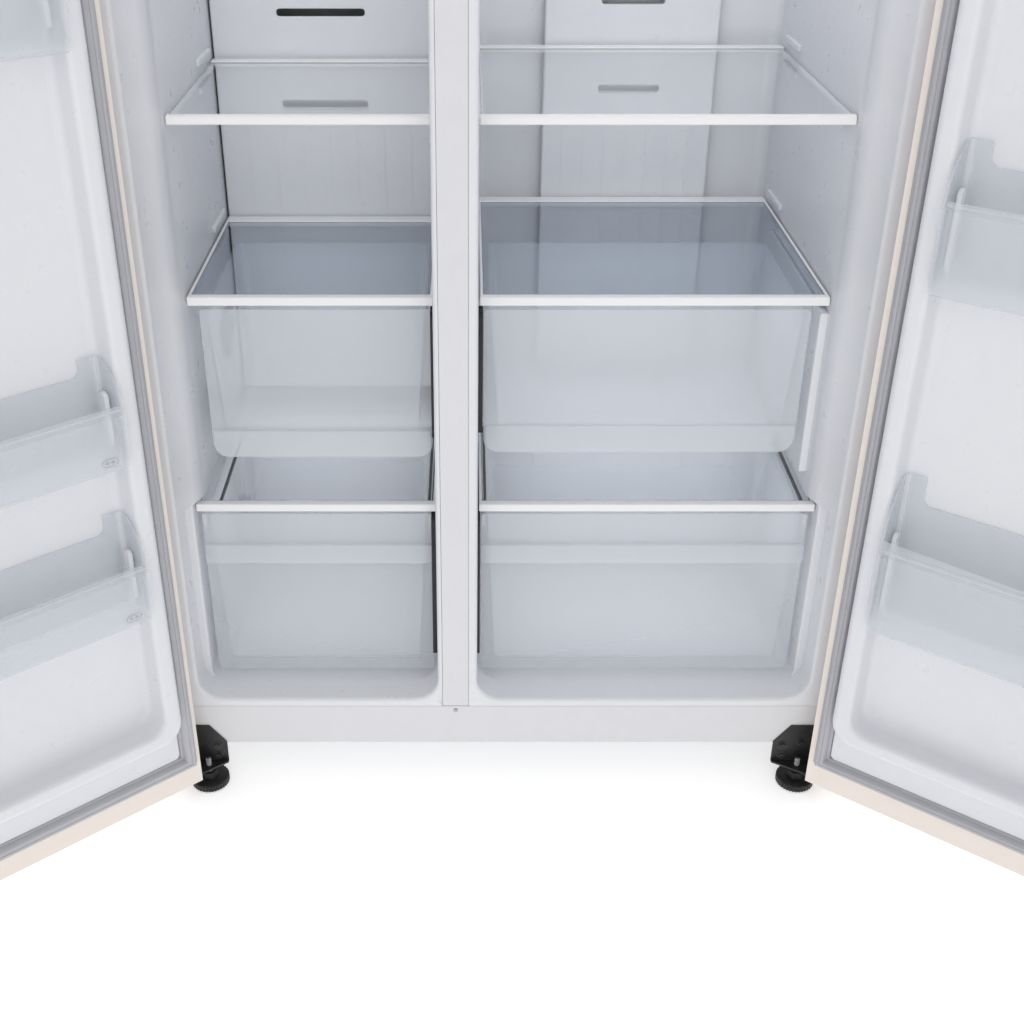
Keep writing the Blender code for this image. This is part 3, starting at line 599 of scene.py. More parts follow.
def make_mottle(name: str) -> bpy.types.NodeTree:
    """Two close colours and two close roughness values that drift over the surface.

    Args:
        name: The group's name.

    Returns:
        The group.
    """
    net, given, wanted = open_group(
        name,
        {"Vector": "Vector", "Light": "Color", "Dark": "Color", "Smooth": "Float", "Rough": "Float"},
        {"Color": "Color", "Roughness": "Float"},
    )
    broad = net.add("TexNoise", {"Vector": given["Vector"], "Scale": 2.3, "Detail": 4.0, "Roughness": 0.6})
    fine = net.add("TexNoise", {"Vector": given["Vector"], "Scale": 46.0, "Detail": 5.0, "Roughness": 0.7})
    both = net.add("Math", {0: broad.outputs["Fac"], 1: fine.outputs["Fac"]}, operation="MULTIPLY")
    spread = net.add("MapRange", {"Value": both.outputs[0], "From Min": 0.14, "From Max": 0.36})
    colour = net.blend(spread.outputs[0], given["Light"], given["Dark"])
    rough = net.add(
        "MapRange",
        {
            "Value": fine.outputs["Fac"],
            "From Min": 0.3,
            "From Max": 0.7,
            "To Min": given["Smooth"],
            "To Max": given["Rough"],
        },
    )
    net.tree.links.new(colour, wanted["Color"])
    net.tree.links.new(rough.outputs[0], wanted["Roughness"])
    return net.tree


def make_skin(name: str) -> bpy.types.NodeTree:
    """The fine skin of a moulding or of sprayed paint, as a height.

    Args:
        name: The group's name.

    Returns:
        The group.
    """
    net, given, wanted = open_group(name, {"Vector": "Vector", "Scale": "Float"}, {"Height": "Float"})
    cells = net.add("TexVoronoi", {"Vector": given["Vector"], "Scale": given["Scale"], "Randomness": 1.0})
    grain = net.add(
        "TexNoise", {"Vector": given["Vector"], "Scale": given["Scale"], "Detail": 3.0, "Roughness": 0.55}
    )
    waves = net.add("TexNoise", {"Vector": given["Vector"], "Scale": 9.0, "Detail": 1.0})
    mixed = net.add("Math", {0: cells.outputs["Distance"], 1: grain.outputs["Fac"]}, operation="MULTIPLY")
    slow = net.add("Math", {0: waves.outputs["Fac"], 1: 2.5}, operation="MULTIPLY")
    total = net.add("Math", {0: mixed.outputs[0], 1: slow.outputs[0]}, operation="ADD")
    net.tree.links.new(total.outputs[0], wanted["Height"])
    return net.tree


def make_wear(name: str) -> bpy.types.NodeTree:
    """A mask that is 1 along the outer edges, broken up by noise.

    Args:
        name: The group's name.

    Returns:
        The group.
    """
    net, given, wanted = open_group(name, {"Vector": "Vector", "Width": "Float"}, {"Mask": "Float"})
    bevel = net.add("Bevel", {"Radius": given["Width"]}, samples=4)
    geometry = net.add("NewGeometry")
    same = net.add(
        "VectorMath", {0: bevel.outputs[0], 1: geometry.outputs["Normal"]}, operation="DOT_PRODUCT"
    )
    bent = net.add("MapRange", {"Value": same.outputs["Value"], "From Min": 0.98, "From Max": 0.80})
    noise = net.add("TexNoise", {"Vector": given["Vector"], "Scale": 60.0, "Detail": 6.0, "Roughness": 0.7})
    broken = net.add("MapRange", {"Value": noise.outputs["Fac"], "From Min": 0.42, "From Max": 0.62})
    mask = net.add("Math", {0: bent.outputs[0], 1: broken.outputs[0]}, operation="MULTIPLY")
    net.tree.links.new(mask.outputs[0], wanted["Mask"])
    return net.tree


def make_painted_edge_shade(name: str) -> bpy.types.NodeTree:
    """A mask that is 1 along every edge, for painted shade that stands in for refraction on clear parts.

    Args:
        name: The group's name.

    Returns:
        The group.
    """
    net, given, wanted = open_group(name, {"Width": "Float"}, {"Mask": "Float"})
    bevel = net.add("Bevel", {"Radius": given["Width"]}, samples=4)
    geometry = net.add("NewGeometry")
    same = net.add(
        "VectorMath", {0: bevel.outputs[0], 1: geometry.outputs["Normal"]}, operation="DOT_PRODUCT"
    )
    bent = net.add("MapRange", {"Value": same.outputs["Value"], "From Min": 0.997, "From Max": 0.93})
    net.tree.links.new(bent.outputs[0], wanted["Mask"])
    return net.tree


def make_dust(name: str) -> bpy.types.NodeTree:
    """A mask of fine dust on what faces up.

    Args:
        name: The group's name.

    Returns:
        The group.
    """
    net, given, wanted = open_group(name, {"Vector": "Vector", "Amount": "Float"}, {"Mask": "Float"})
    geometry = net.add("NewGeometry")
    parts = net.add("SeparateXYZ", {0: geometry.outputs["Normal"]})
    up = net.add("MapRange", {"Value": parts.outputs["Z"], "From Min": 0.4, "From Max": 1.0})
    noise = net.add("TexNoise", {"Vector": given["Vector"], "Scale": 18.0, "Detail": 8.0, "Roughness": 0.75})
    patch = net.add("MapRange", {"Value": noise.outputs["Fac"], "From Min": 0.35, "From Max": 0.75})
    mask = net.add("Math", {0: up.outputs[0], 1: patch.outputs[0]}, operation="MULTIPLY")
    amount = net.add("Math", {0: mask.outputs[0], 1: given["Amount"]}, operation="MULTIPLY")
    net.tree.links.new(amount.outputs[0], wanted["Mask"])
    return net.tree


@dataclass(frozen=True)
class Finish:
    """A finish that light doesn't pass.

    Attributes:
        name: The material's name.
        slot: The record's material slot. Not used.
        light: Its main colour.
        dark: The darker colour that it drifts to.
        smooth: Its lowest roughness.
        rough: Its highest roughness.
        metallic: 1 for bare metal.
        grain: How fine its skin is.
        relief: How deep its skin is, in metres.
        worn: The colour that shows along worn edges, or None.
        dust: How much dust lies on what faces up.
        coat: The weight of a clear coat.
        sheen: The weight of a soft sheen.
        rim: The painted shade along its edges, standing in for refraction in a clear wall, or None.
    """

    name: str
    slot: str
    light: Colour
    dark: Colour
    smooth: float
    rough: float
    metallic: float = 0.0
    grain: float = 900.0
    relief: float = 0.00002
    worn: Colour | None = None
    dust: float = 0.0
    coat: float = 0.0
    sheen: float = 0.0
    rim: Colour | None = None

    def shader(self, net: Net) -> bpy.types.Node:
        """The Principled shader with its colour, roughness and skin.

        Args:
            net: The material's nodes.

        Returns:
            The shader.
        """
        places = net.add("TexCoord").outputs["Object"]
        mottle = net.add(
            "Group",
            {},
            node_tree=Effect.MOTTLE.group(),
        )
        net.tree.links.new(places, mottle.inputs["Vector"])
        mottle.inputs["Light"].default_value = (*self.light, 1.0)
        mottle.inputs["Dark"].default_value = (*self.dark, 1.0)
        mottle.inputs["Smooth"].default_value = self.smooth
        mottle.inputs["Rough"].default_value = self.rough
        colour = mottle.outputs["Color"]
        if self.worn:
            wear = net.add("Group", {}, node_tree=Effect.WEAR.group())
            net.tree.links.new(places, wear.inputs["Vector"])
            wear.inputs["Width"].default_value = 0.0012
            colour = net.blend(wear.outputs["Mask"], colour, self.worn)
        # Painted shade: a darker colour along every edge of a clear part, standing in for refraction.
        if self.rim:
            edge = net.add("Group", {}, node_tree=Effect.PAINTED_EDGE_SHADE.group())
            edge.inputs["Width"].default_value = 0.0020
            colour = net.blend(edge.outputs["Mask"], colour, self.rim)
        if self.dust:
            dust = net.add("Group", {}, node_tree=Effect.DUST.group())
            net.tree.links.new(places, dust.inputs["Vector"])
            dust.inputs["Amount"].default_value = self.dust
            colour = net.blend(dust.outputs["Mask"], colour, (0.62, 0.60, 0.56))
        shader = net.add(
            "BsdfPrincipled",
            {
                "Base Color": colour,
                "Roughness": mottle.outputs["Roughness"],
                "Metallic": self.metallic,
                "Coat Weight": self.coat,
                "Coat Roughness": 0.12,
                "Sheen Weight": self.sheen,
            },
        )
        if self.relief:
            skin = net.add("Group", {}, node_tree=Effect.SKIN.group())
            net.tree.links.new(places, skin.inputs["Vector"])
            skin.inputs["Scale"].default_value = self.grain
            height = skin.outputs["Height"]
            bump = net.add("Bump", {"Strength": 1.0, "Distance": self.relief, "Height": height})
            net.tree.links.new(bump.outputs[0], shader.inputs["Normal"])
        return shader

    def material(self) -> bpy.types.Material:
        """The material, made the first time that it is asked for."""
        known = bpy.data.materials.get(self.name)
        if known:
            return known
        material = bpy.data.materials.new(self.name)
        material.use_nodes = True
        material.node_tree.nodes.clear()
        net = Net(material.node_tree)
        self.surface(net)
        return material

    def surface(self, net: Net) -> None:
        """Fills the material's tree."""
        net.add("OutputMaterial", {"Surface": self.shader(net).outputs[0]})


@dataclass(frozen=True)
class Clear(Finish):
    """Clear plastic or glass. Lamps shine through it, so that what is behind it stays lit.

    Attributes:
        ior: Its index of refraction.
        passed: The colour of the light that it lets through.
    """

    ior: float = 1.49
    passed: Colour = (0.985, 0.988, 0.992)

    def surface(self, net: Net) -> None:
        """Fills the material's tree.

        Args:
            net: The material's nodes.
        """
        solid = self.shader(net)
        solid.inputs["Transmission Weight"].default_value = 1.0
        solid.inputs["IOR"].default_value = self.ior
        rays = net.add("LightPath")
        either = net.add(
            "Math",
            {0: rays.outputs["Is Shadow Ray"], 1: rays.outputs["Is Diffuse Ray"]},
            operation="MAXIMUM",
        )
        open_air = net.add("BsdfTransparent", {"Color": (*self.passed, 1.0)})
        mixed = net.add("MixShader", {0: either.outputs[0], 1: solid.outputs[0], 2: open_air.outputs[0]})
        net.add("OutputMaterial", {"Surface": mixed.outputs[0]})


CREAM_PAINT = Finish(
    "cream_paint", "cream_steel", (0.90, 0.825, 0.765), (0.885, 0.805, 0.745), 0.30, 0.40, grain=1400.0,
    relief=0.00001, coat=0.15,
)
WHITE_PAINT = Finish(
    "white_paint", "white_steel", (0.76, 0.76, 0.785), (0.74, 0.74, 0.765), 0.34, 0.44, grain=1300.0,
    relief=0.00001,
)
LINER_PLASTIC = Finish(
    "liner_plastic", "white_plastic", (0.80, 0.81, 0.84), (0.78, 0.79, 0.825), 0.26, 0.36, grain=700.0,
    relief=0.000015,
)
TRIM_PLASTIC = Finish(
    "trim_plastic", "trim_plastic", (0.87, 0.87, 0.88), (0.85, 0.85, 0.865), 0.24, 0.34, grain=800.0,
    relief=0.00001,
)
GASKET_VINYL = Finish(
    "gasket_vinyl", "gasket", (0.50, 0.50, 0.53), (0.47, 0.47, 0.50), 0.50, 0.62, grain=500.0,
    relief=0.00003, sheen=0.1,
)
ZINC_SHEET = Finish(
    "zinc_sheet", "zinc_steel", (0.60, 0.61, 0.63), (0.48, 0.49, 0.51), 0.30, 0.48, metallic=1.0,
    grain=160.0, relief=0.00001, dust=0.25,
)
BOLT_STEEL = Finish(
    "bolt_steel", "zinc_steel", (0.66, 0.66, 0.67), (0.50, 0.50, 0.52), 0.22, 0.36, metallic=1.0,
    grain=900.0, relief=0.00001,
)
BLACK_PAINT = Finish(
    "black_paint", "black_steel", (0.022, 0.022, 0.023), (0.014, 0.014, 0.015), 0.30, 0.46, grain=1100.0,
    relief=0.00003, worn=(0.16, 0.16, 0.17),
)
BLACK_PLASTIC = Finish(
    "black_moulding", "black_plastic", (0.020, 0.020, 0.021), (0.013, 0.013, 0.014), 0.36, 0.52, grain=900.0,
    relief=0.00004, worn=(0.07, 0.07, 0.075),
)
COPPER = Finish(
    "copper_pipe", "copper_tube", (0.72, 0.38, 0.25), (0.46, 0.24, 0.17), 0.24, 0.42, metallic=1.0,
    grain=300.0, relief=0.00001, dust=0.2,
)
ALUMINIUM = Finish(
    "aluminium_sheet", "aluminium_fins", (0.76, 0.77, 0.79), (0.62, 0.63, 0.66), 0.24, 0.38, metallic=1.0,
    grain=400.0, relief=0.00001,
)
FOAM = Finish(
    "cast_foam", "foam", (0.82, 0.74, 0.50), (0.72, 0.63, 0.40), 0.85, 0.98, grain=220.0, relief=0.0004,
)
LAMP = Finish(
    "lamp_lens", "trim_plastic", (0.93, 0.93, 0.92), (0.90, 0.90, 0.90), 0.16, 0.24, grain=500.0,
    relief=0.00002,
)
# rim: painted shade along the edges of this clear finish, standing in for refraction
CLEAR_PLASTIC = Clear(
    "clear_plastic", "clear_plastic", (0.975, 0.980, 0.992), (0.965, 0.972, 0.988), 0.0, 0.01, relief=0.0,
    rim=(0.10, 0.115, 0.14),
)
# rim: painted shade along the edges of this clear finish, standing in for refraction
CLEAR_GLASS = Clear(
    "clear_glass", "shelf_glass", (0.965, 0.980, 0.985), (0.955, 0.972, 0.980), 0.0, 0.01, relief=0.0,
    rim=(0.22, 0.27, 0.28), ior=1.50,
)
# rim: painted shade along the edges of this clear finish, standing in for refraction
TINTED_GLASS = Clear(
    "tinted_glass", "shelf_glass", (0.60, 0.655, 0.71), (0.57, 0.63, 0.685), 0.01, 0.04, relief=0.0,
    rim=(0.20, 0.24, 0.28), ior=1.50, passed=(0.88, 0.90, 0.92),
)


# ---- case


@dataclass(frozen=True)
class Stage:
    """The walls of a liner at one depth, each pair above and below its ledge.

    Attributes:
        depth: Y.
        mullion: How far its mullion wall stands in from the opening's side.
        outer: How far its outer wall stands in from the opening's other side.
        bottom: Z of its floor.
        top: Z of its ceiling.
        radii: The radii of its lower and upper corners.
    """

    depth: float
    mullion: tuple[float, float]
    outer: tuple[float, float]
    bottom: float
    top: float
    radii: tuple[float, float]


@dataclass
class Compartment:
    """The moulded liner of one compartment, with the rails that its shelves lie on.

    Attributes:
        name: freezer or fridge.
        side: -1 if its outer wall is at low X, 1 if it is at high X.
        opening: The sides of its opening.
        bottom, top, corner: The bottom, the top and the corner radius of the opening.
        front_depth: Where the lower hollow's walls stand in.
        slant_start, shoulder_depth: Where the upper hollow's outer wall starts and stops slanting.
        ledge, hump: Z of the ledge on the outer wall, and of the floor over the machine room.
        lower_*, upper_*: The hollows below and above the ledge: how far the outer wall stands in and the
            mullion wall out, the floor or ceiling, the depth and the radii.
        hump_corner: The radius of the corners on the hump.
        edge, fold: The radii of the lip of the opening, and of the folds behind it.
        wall: The thickness of the sheet.
    """

    name: str
    side: int
    opening: tuple[float, float]
    bottom: float = 0.140
    top: float = 1.700
    corner: float = 0.033
    front_depth: float = 0.045
    slant_start: float = 0.020
    shoulder_depth: float = 0.070
    ledge: float = 0.429
    hump: float = 0.400
    lower_inset: float = 0.0112
    lower_relief: float = 0.0010
    lower_bottom: float = 0.138
    lower_corner: float = 0.020
    lower_depth: float = 0.335
    lower_fillet: float = 0.011
    upper_inset: float = 0.0252
    upper_relief: float = 0.0016
    upper_top: float = 1.698
    upper_depth: float = 0.530
    upper_fillet: float = 0.017
    hump_corner: float = 0.012
    edge: float = 0.005
    fold: float = 0.003
    wall: float = 0.0012

    def span(self, outer_inset: float, inner_relief: float) -> tuple[float, float]:
        """The sides of a hollow whose outer wall stands in, and whose mullion wall stands out.

        Args:
            outer_inset: How far the outer wall stands in.
            inner_relief: How far the mullion wall stands out.

        Returns:
            The low and the high side.
        """
        low, high = self.opening
        if self.side < 0:
            return low + outer_inset, high + inner_relief
        return low - inner_relief, high - outer_inset

    def outline(self, stage: Stage) -> Outline:
        """The liner's outline at one depth: down its mullion wall, over its floor and up its outer wall.

        Args:
            stage: The walls at that depth.

        Returns:
            The points, as distances from the opening's mullion side and heights.
        """
        width = self.opening[1] - self.opening[0]
        upper_right, lower_right = width - stage.outer[0], width - stage.outer[1]
        upper_left, lower_left = stage.mullion
        low_radius, top_radius = stage.radii
        base = stage.bottom + low_radius
        crown = stage.top - top_radius
        bend = min(0.004, max(stage.outer[0] - stage.outer[1], 0.0) / 2)
        joint = max(self.hump - 0.015, stage.bottom + low_radius + 0.002)
        points = arc((upper_left + top_radius, crown), top_radius, 90.0, 180.0, 7)
        points += [(upper_left, self.ledge), (upper_left, max(self.hump, joint + 0.002))]
        points += [(lower_left, joint)]
        points += arc((lower_left + low_radius, base), low_radius, 180.0, 270.0, 7)
        points += arc((lower_right - low_radius, base), low_radius, 270.0, 360.0, 7)
        points += [
            (lower_right, joint),
            (lower_right, self.ledge - bend),
            (lower_right - bend * 0.29, self.ledge - bend * 0.29),
            (lower_right - bend, self.ledge),
            (upper_right + bend, self.ledge),
            (upper_right + bend * 0.29, self.ledge + bend * 0.29),
            (upper_right, self.ledge + bend),
        ]
        return points + arc((upper_right - top_radius, crown), top_radius, 0.0, 90.0, 7)

    def stages(self) -> list[Stage]:
        """The walls at each depth, from the lip of the opening to the back of the upper hollow."""
        lip, fold = self.edge, self.fold
        quarter = [math.pi / 2 * step / 5 for step in range(6)]
        stages = []
        for turn in quarter:
            out = lip * (1 - math.sin(turn))
            stages.append(
                Stage(
                    lip * (1 - math.cos(turn)), (-out, -out), (-out, -out), self.bottom - out,
                    self.top + out, (self.corner + out, self.corner + out),
                )
            )
        step = self.front_depth
        stages += [self.fore(self.slant_start, 0.0), self.fore(step, 0.0)]
        for turn in quarter:
            share = 1 - fold / self.lower_inset * (1 - math.sin(turn))
            stages.append(self.fore(step + fold * (1 - math.cos(turn)), share))
        stages.append(self.fore(self.shoulder_depth, 1.0))
        fillet = self.lower_fillet
        for turn in quarter:
            depth = self.lower_depth - fillet * (1 - math.sin(turn))
            stages.append(self.fore(depth, 1.0, fillet * (1 - math.cos(turn))))
        for turn in quarter:
            out = fold * (1 - math.sin(turn))
            stages.append(self.rear(self.lower_depth + fold * (1 - math.cos(turn)), 0.0, out))
        fillet = self.upper_fillet
        for turn in quarter:
            depth = self.upper_depth - fillet * (1 - math.sin(turn))
            stages.append(self.rear(depth, fillet * (1 - math.cos(turn)), 0.0))
        return stages

    def fore(self, depth: float, share: float, low_in: float = 0.0) -> Stage:
        """The walls in front of the lower hollow's back.

        Args:
            depth: Y.
            share: How far the walls have come from those of the opening to those of the hollows, 0 to 1.
            low_in: How far the lower hollow's walls stand in, for its fillet.

        Returns:
            The walls.
        """
        slant = min(max((depth - self.slant_start) / (self.shoulder_depth - self.slant_start), 0.0), 1.0)
        low_outer = self.lower_inset * share + low_in
        lowest = self.bottom + (self.lower_bottom - self.bottom) * share + low_in
        low_radius = max(self.corner + (self.lower_corner - self.corner) * share - low_in, 0.003)
        return Stage(
            depth, (-self.upper_relief * share, -self.lower_relief * share + low_in),
            (self.upper_inset * slant, low_outer), lowest,
            self.top + (self.upper_top - self.top) * share, (low_radius, self.corner),
        )

    def rear(self, depth: float, inset: float, drop: float) -> Stage:
        """The walls of the upper hollow, behind the lower one.

        Args:
            depth: Y.
            inset: How far they stand in, for the fillet.
            drop: How far the floor is let down, for the fold.

        Returns:
            The walls.
        """
        left, right = inset - self.upper_relief, self.upper_inset + inset
        return Stage(
            depth, (left, left), (right, right), self.hump + inset - drop, self.upper_top - inset,
            (max(self.hump_corner - inset, 0.001), max(self.corner - inset, 0.001)),
        )

    def shell(self) -> None:
        """The liner: its walls from the opening to its back, and the flange round the opening."""
        start = self.opening[1] if self.side < 0 else self.opening[0]
        rings = [
            [(start + self.side * across, stage.depth, up) for across, up in self.outline(stage)]
            for stage in self.stages()
        ]
        whole = Shape()
        plane = whole.bm
        rows = [[plane.verts.new(point) for point in ring] for ring in rings]
        for row, after in zip(rows, rows[1:]):
            for number in range(len(row)):
                plane.faces.new((row[number - 1], row[number], after[number], after[number - 1]))
        plane.faces.new(rows[-1])
        bmesh.ops.remove_doubles(plane, verts=plane.verts, dist=0.00002)
        bmesh.ops.dissolve_degenerate(plane, edges=plane.edges, dist=0.00001)
        bmesh.ops.recalc_face_normals(plane, faces=plane.faces)
        back = max(plane.faces, key=lambda face: face.calc_center_median().y)
        if back.normal.y > 0:
            bmesh.ops.reverse_faces(plane, faces=plane.faces)
        rim = [edge for edge in plane.edges if edge.is_boundary]
        low, high = in_case().box(f"{self.name}_liner")
        frame_outline = Plate((low.x, high.x), (low.z, high.z), 0.001, 1).outline()
        verts = [plane.verts.new((x, 0.0, z)) for x, z in frame_outline]
        outer = [plane.edges.new((verts[i - 1], verts[i])) for i in range(len(verts))]
        filled = bmesh.ops.triangle_fill(plane, use_beauty=True, use_dissolve=False, edges=[*rim, *outer])
        flat = [item for item in filled["geom"] if isinstance(item, bmesh.types.BMFace)]
        for face in flat:
            face.normal_update()
            if face.normal.y > 0:
                face.normal_flip()
        whole.put(f"{self.name}_liner_shell", in_case(), LINER_PLASTIC, f"{self.name}_liner", wall=self.wall)

    def wall_x(self) -> tuple[float, float]:
        """X of the upper hollow's two walls."""
        return self.span(self.upper_inset, self.upper_relief)

    def drawer_rail(self) -> None:
        """The white rail on the outer wall beside the upper drawer."""
        low, high = in_case().box(f"{self.name}_upper_drawer")
        wall_x = self.wall_x()[1 if self.side > 0 else 0]
        reach = sorted((wall_x + self.side * 0.001, wall_x - self.side * 0.0105))
        shape = Shape().block(
            (reach[0], low.y + 0.004, low.z - 0.030), (reach[1], high.y + 0.060, high.z - 0.004), 0.0030, 4
        )
        shape.put(f"{self.name}_drawer_rail", in_case(), LINER_PLASTIC)

    def rails(self) -> None:
        """The rails on the side walls: one under each shelf, and a rib above it against tipping."""
        shape = Shape()
        low_x, high_x = self.wall_x()
        shelves = [f"{self.name}_upper_shelf_frame", *(f"{self.name}_shelf_{n}_glass" for n in (2, 3, 4))]
        for node in shelves:
            low, high = in_case().box(node)
            for wall_x, way in ((low_x, 1), (high_x, -1)):
                reach = sorted((wall_x - way * 0.001, wall_x + way * 0.0075))
                shape.block(
                    (reach[0], low.y + 0.020, low.z - 0.0085),
                    (reach[1], high.y - 0.030, low.z - AIR),
                    0.0022,
                    3,
                )
                stub = sorted((wall_x - way * 0.001, wall_x + way * 0.0052))
                shape.block(
                    (stub[0], high.y - 0.115, high.z + 0.012),
                    (stub[1], high.y - 0.030, high.z + 0.021),
                    0.0022,
                    3,
                )
        shape.put(f"{self.name}_shelf_rails", in_case(), LINER_PLASTIC)


COMPARTMENTS = (
    Compartment("freezer", -1, (-0.4277, -0.0924)),
    Compartment("fridge", 1, (-0.0377, 0.4277)),
)


@dataclass
class Case:
    """The outer case, its base and what closes its back.

    Attributes:
        half_height: A height about half way up the case.
    """

    half_height: float = 0.9

    def build(self) -> None:
        """Makes every piece of the case."""
        self.shell()
        self.rear()
        for compartment in COMPARTMENTS:
            compartment.shell()
            compartment.rails()
            if compartment.side > 0:
                compartment.drawer_rail()
        self.front_trim()
        self.tray()
        self.ducts()
        self.foam()

    def foam(self) -> None:
        """The foam behind the liners, cut back where a liner's wall stands further out near the front."""
        foam = Shape.of_node("insulation_foam", in_case())
        rooms = []
        for room in COMPARTMENTS:
            low_x, high_x = room.opening
            rooms.append(
                Shape().block(
                    (low_x - 0.0020, -0.010, room.ledge - 0.0020),
                    (high_x + 0.0020, room.shoulder_depth + 0.0020, room.top + 0.0020),
                )
            )
        foam.combine(Cut.CARVE, *rooms).put("case_foam", in_case(), FOAM, "insulation_foam")

    def shell(self) -> None:
        """The painted sheet over the sides and the top, with round long corners."""
        low, high = in_case().box("cabinet_shell")
        bend = 0.004
        profile = [(low.x, low.z), (low.x, high.z - bend)]
        profile += arc((low.x + bend, high.z - bend), bend, 180.0, 90.0, 6)[1:]
        profile += arc((high.x - bend, high.z - bend), bend, 90.0, 0.0, 6)
        profile += [(high.x, low.z)]
        shape = Shape()
        rows = [[shape.bm.verts.new((x, y, z)) for x, z in profile] for y in (low.y, high.y)]
        for number in range(len(profile) - 1):
            corners = (rows[0][number], rows[0][number + 1], rows[1][number + 1], rows[1][number])
            shape.bm.faces.new(corners).normal_update()
        inward = []
        for face in shape.bm.faces:
            middle = face.calc_center_median()
            if face.normal.dot(middle - Vector((0.0, middle.y, self.half_height))) < 0:
                inward.append(face)
        bmesh.ops.reverse_faces(shape.bm, faces=inward)
        shape.put("case_sheet", in_case(), CREAM_PAINT, "cabinet_shell", wall=0.0006)

    def rear(self) -> None:
        """The back sheet with pressed ribs, and the slotted cover of the machine room."""
        low, high = in_case().box("rear_panel")
        shape = Shape().block(low, high, 0.0003, 1)
        ribs = 4
        pitch = (high.z - low.z) / (ribs + 1)
        outer = high.y - 0.0006
        for number in range(ribs):
            middle = low.z + pitch * (number + 1)
            strip = Plate((low.x + 0.060, high.x - 0.060), (middle - 0.012, middle + 0.012), 0.0115)
            groove = Shape().rise(strip, Axis.Y, outer + 0.002, [(0.0, 0.0015), (0.0012, 0.0005)], back=True)
            shape = shape.combine(Cut.CARVE, groove)
        shape.put("back_sheet", in_case(), ZINC_SHEET, "rear_panel")
        cover = Shape.of_node("machine_room_cover", in_case())
        cover.soften(0.0004, 1, 60.0).put("machine_room_sheet", in_case(), ZINC_SHEET, "machine_room_cover")

    def front_trim(self) -> None:
        """The strip on the mullion, the base panel with its folded edge, and its screw."""
        low, high = in_case().box("mullion_cover")
        strip = Shape.of_node("mullion_cover", in_case())
        strip.soften(0.0012, 3, 60.0).put("mullion_strip", in_case(), WHITE_PAINT, "mullion_cover")
        panel = Shape.of_node("base_front_panel", in_case())
        panel.soften(0.0006, 2, 60.0).put("base_panel", in_case(), WHITE_PAINT, "base_front_panel")
        panel_low, panel_high = in_case().box("base_front_panel")
        centre = ((low.x + high.x) / 2, panel_low.y, panel_high.z - 0.007)
        screw = Shape().turn(
            [(0.0, 0.0), (0.0032, 0.0), (0.0032, -0.0008), (0.0022, -0.0017), (0.0, -0.0019)],
            centre,
            Axis.Y,
            24,
        )
        slots = [
            Shape().block(
                (centre[0] - wide, centre[1] - 0.0030, centre[2] - tall),
                (centre[0] + wide, centre[1] - 0.0011, centre[2] + tall),
            )
            for wide, tall in ((0.0019, 0.0004), (0.0004, 0.0019))
        ]
        screw.combine(Cut.CARVE, *slots).put("base_panel_screw", in_case(), BOLT_STEEL)

    def tray(self) -> None:
        """The tray under the case."""
        tray = Shape.of_node("base_tray", in_case())
        tray.soften(0.0005, 1, 60.0).put("base_sheet", in_case(), ZINC_SHEET, "base_tray")

    def ducts(self) -> None:
        """The covers in front of the back walls with their vents, and the lamps under the ceilings."""
        for name, vent_x in (("freezer", (-0.310, -0.190)), ("fridge", (0.140, 0.230))):
            node = f"{name}_duct_cover"
            low, high = in_case().box(node)
            bend = 0.003
            plate = Plate((low.x, high.x), (low.z, high.z), 0.006)
            cover = Shape().rise(
                plate, Axis.Y, high.y, [(0.0, high.y - low.y - bend), *shoulder(bend, 4)], back=True
            )
            vents = []
            for number in range(3):
                bottom = 0.985 + 0.225 * number
                slot = Plate(vent_x, (bottom, bottom + 0.010), 0.0045, 4)
                vents.append(Shape().prism(slot.outline(), Axis.Y, low.y - 0.010, high.y + 0.010))
            cover.combine(Cut.CARVE, *vents).soften(0.0006, 2, 60.0)
            ribs = 7
            for number in range(ribs):
                middle = low.x + (high.x - low.x) * (number + 1) / (ribs + 1)
                heights = (low.z + 0.050, low.z + 0.420)
                outline = Plate((middle - 0.0018, middle + 0.0018), heights, 0.0017, 4)
                cover.prism(outline.outline(), Axis.Y, low.y + 0.0004, low.y - 0.0009)
            cover.put(f"{name}_air_cover", in_case(), LINER_PLASTIC, node)
        for compartment in COMPARTMENTS:
            low_x, high_x = compartment.wall_x()
            middle = (low_x + high_x) / 2
            plate = Plate((middle - 0.085, middle + 0.085), (0.130, 0.185), 0.012)
            lens = Shape().rise(
                plate, Axis.Z, compartment.upper_top + 0.0005, [(0.0, 0.0060), *shoulder(0.004)], back=True
            )
            lens.put(f"{compartment.name}_lamp", in_case(), LAMP)


# ---- shelves


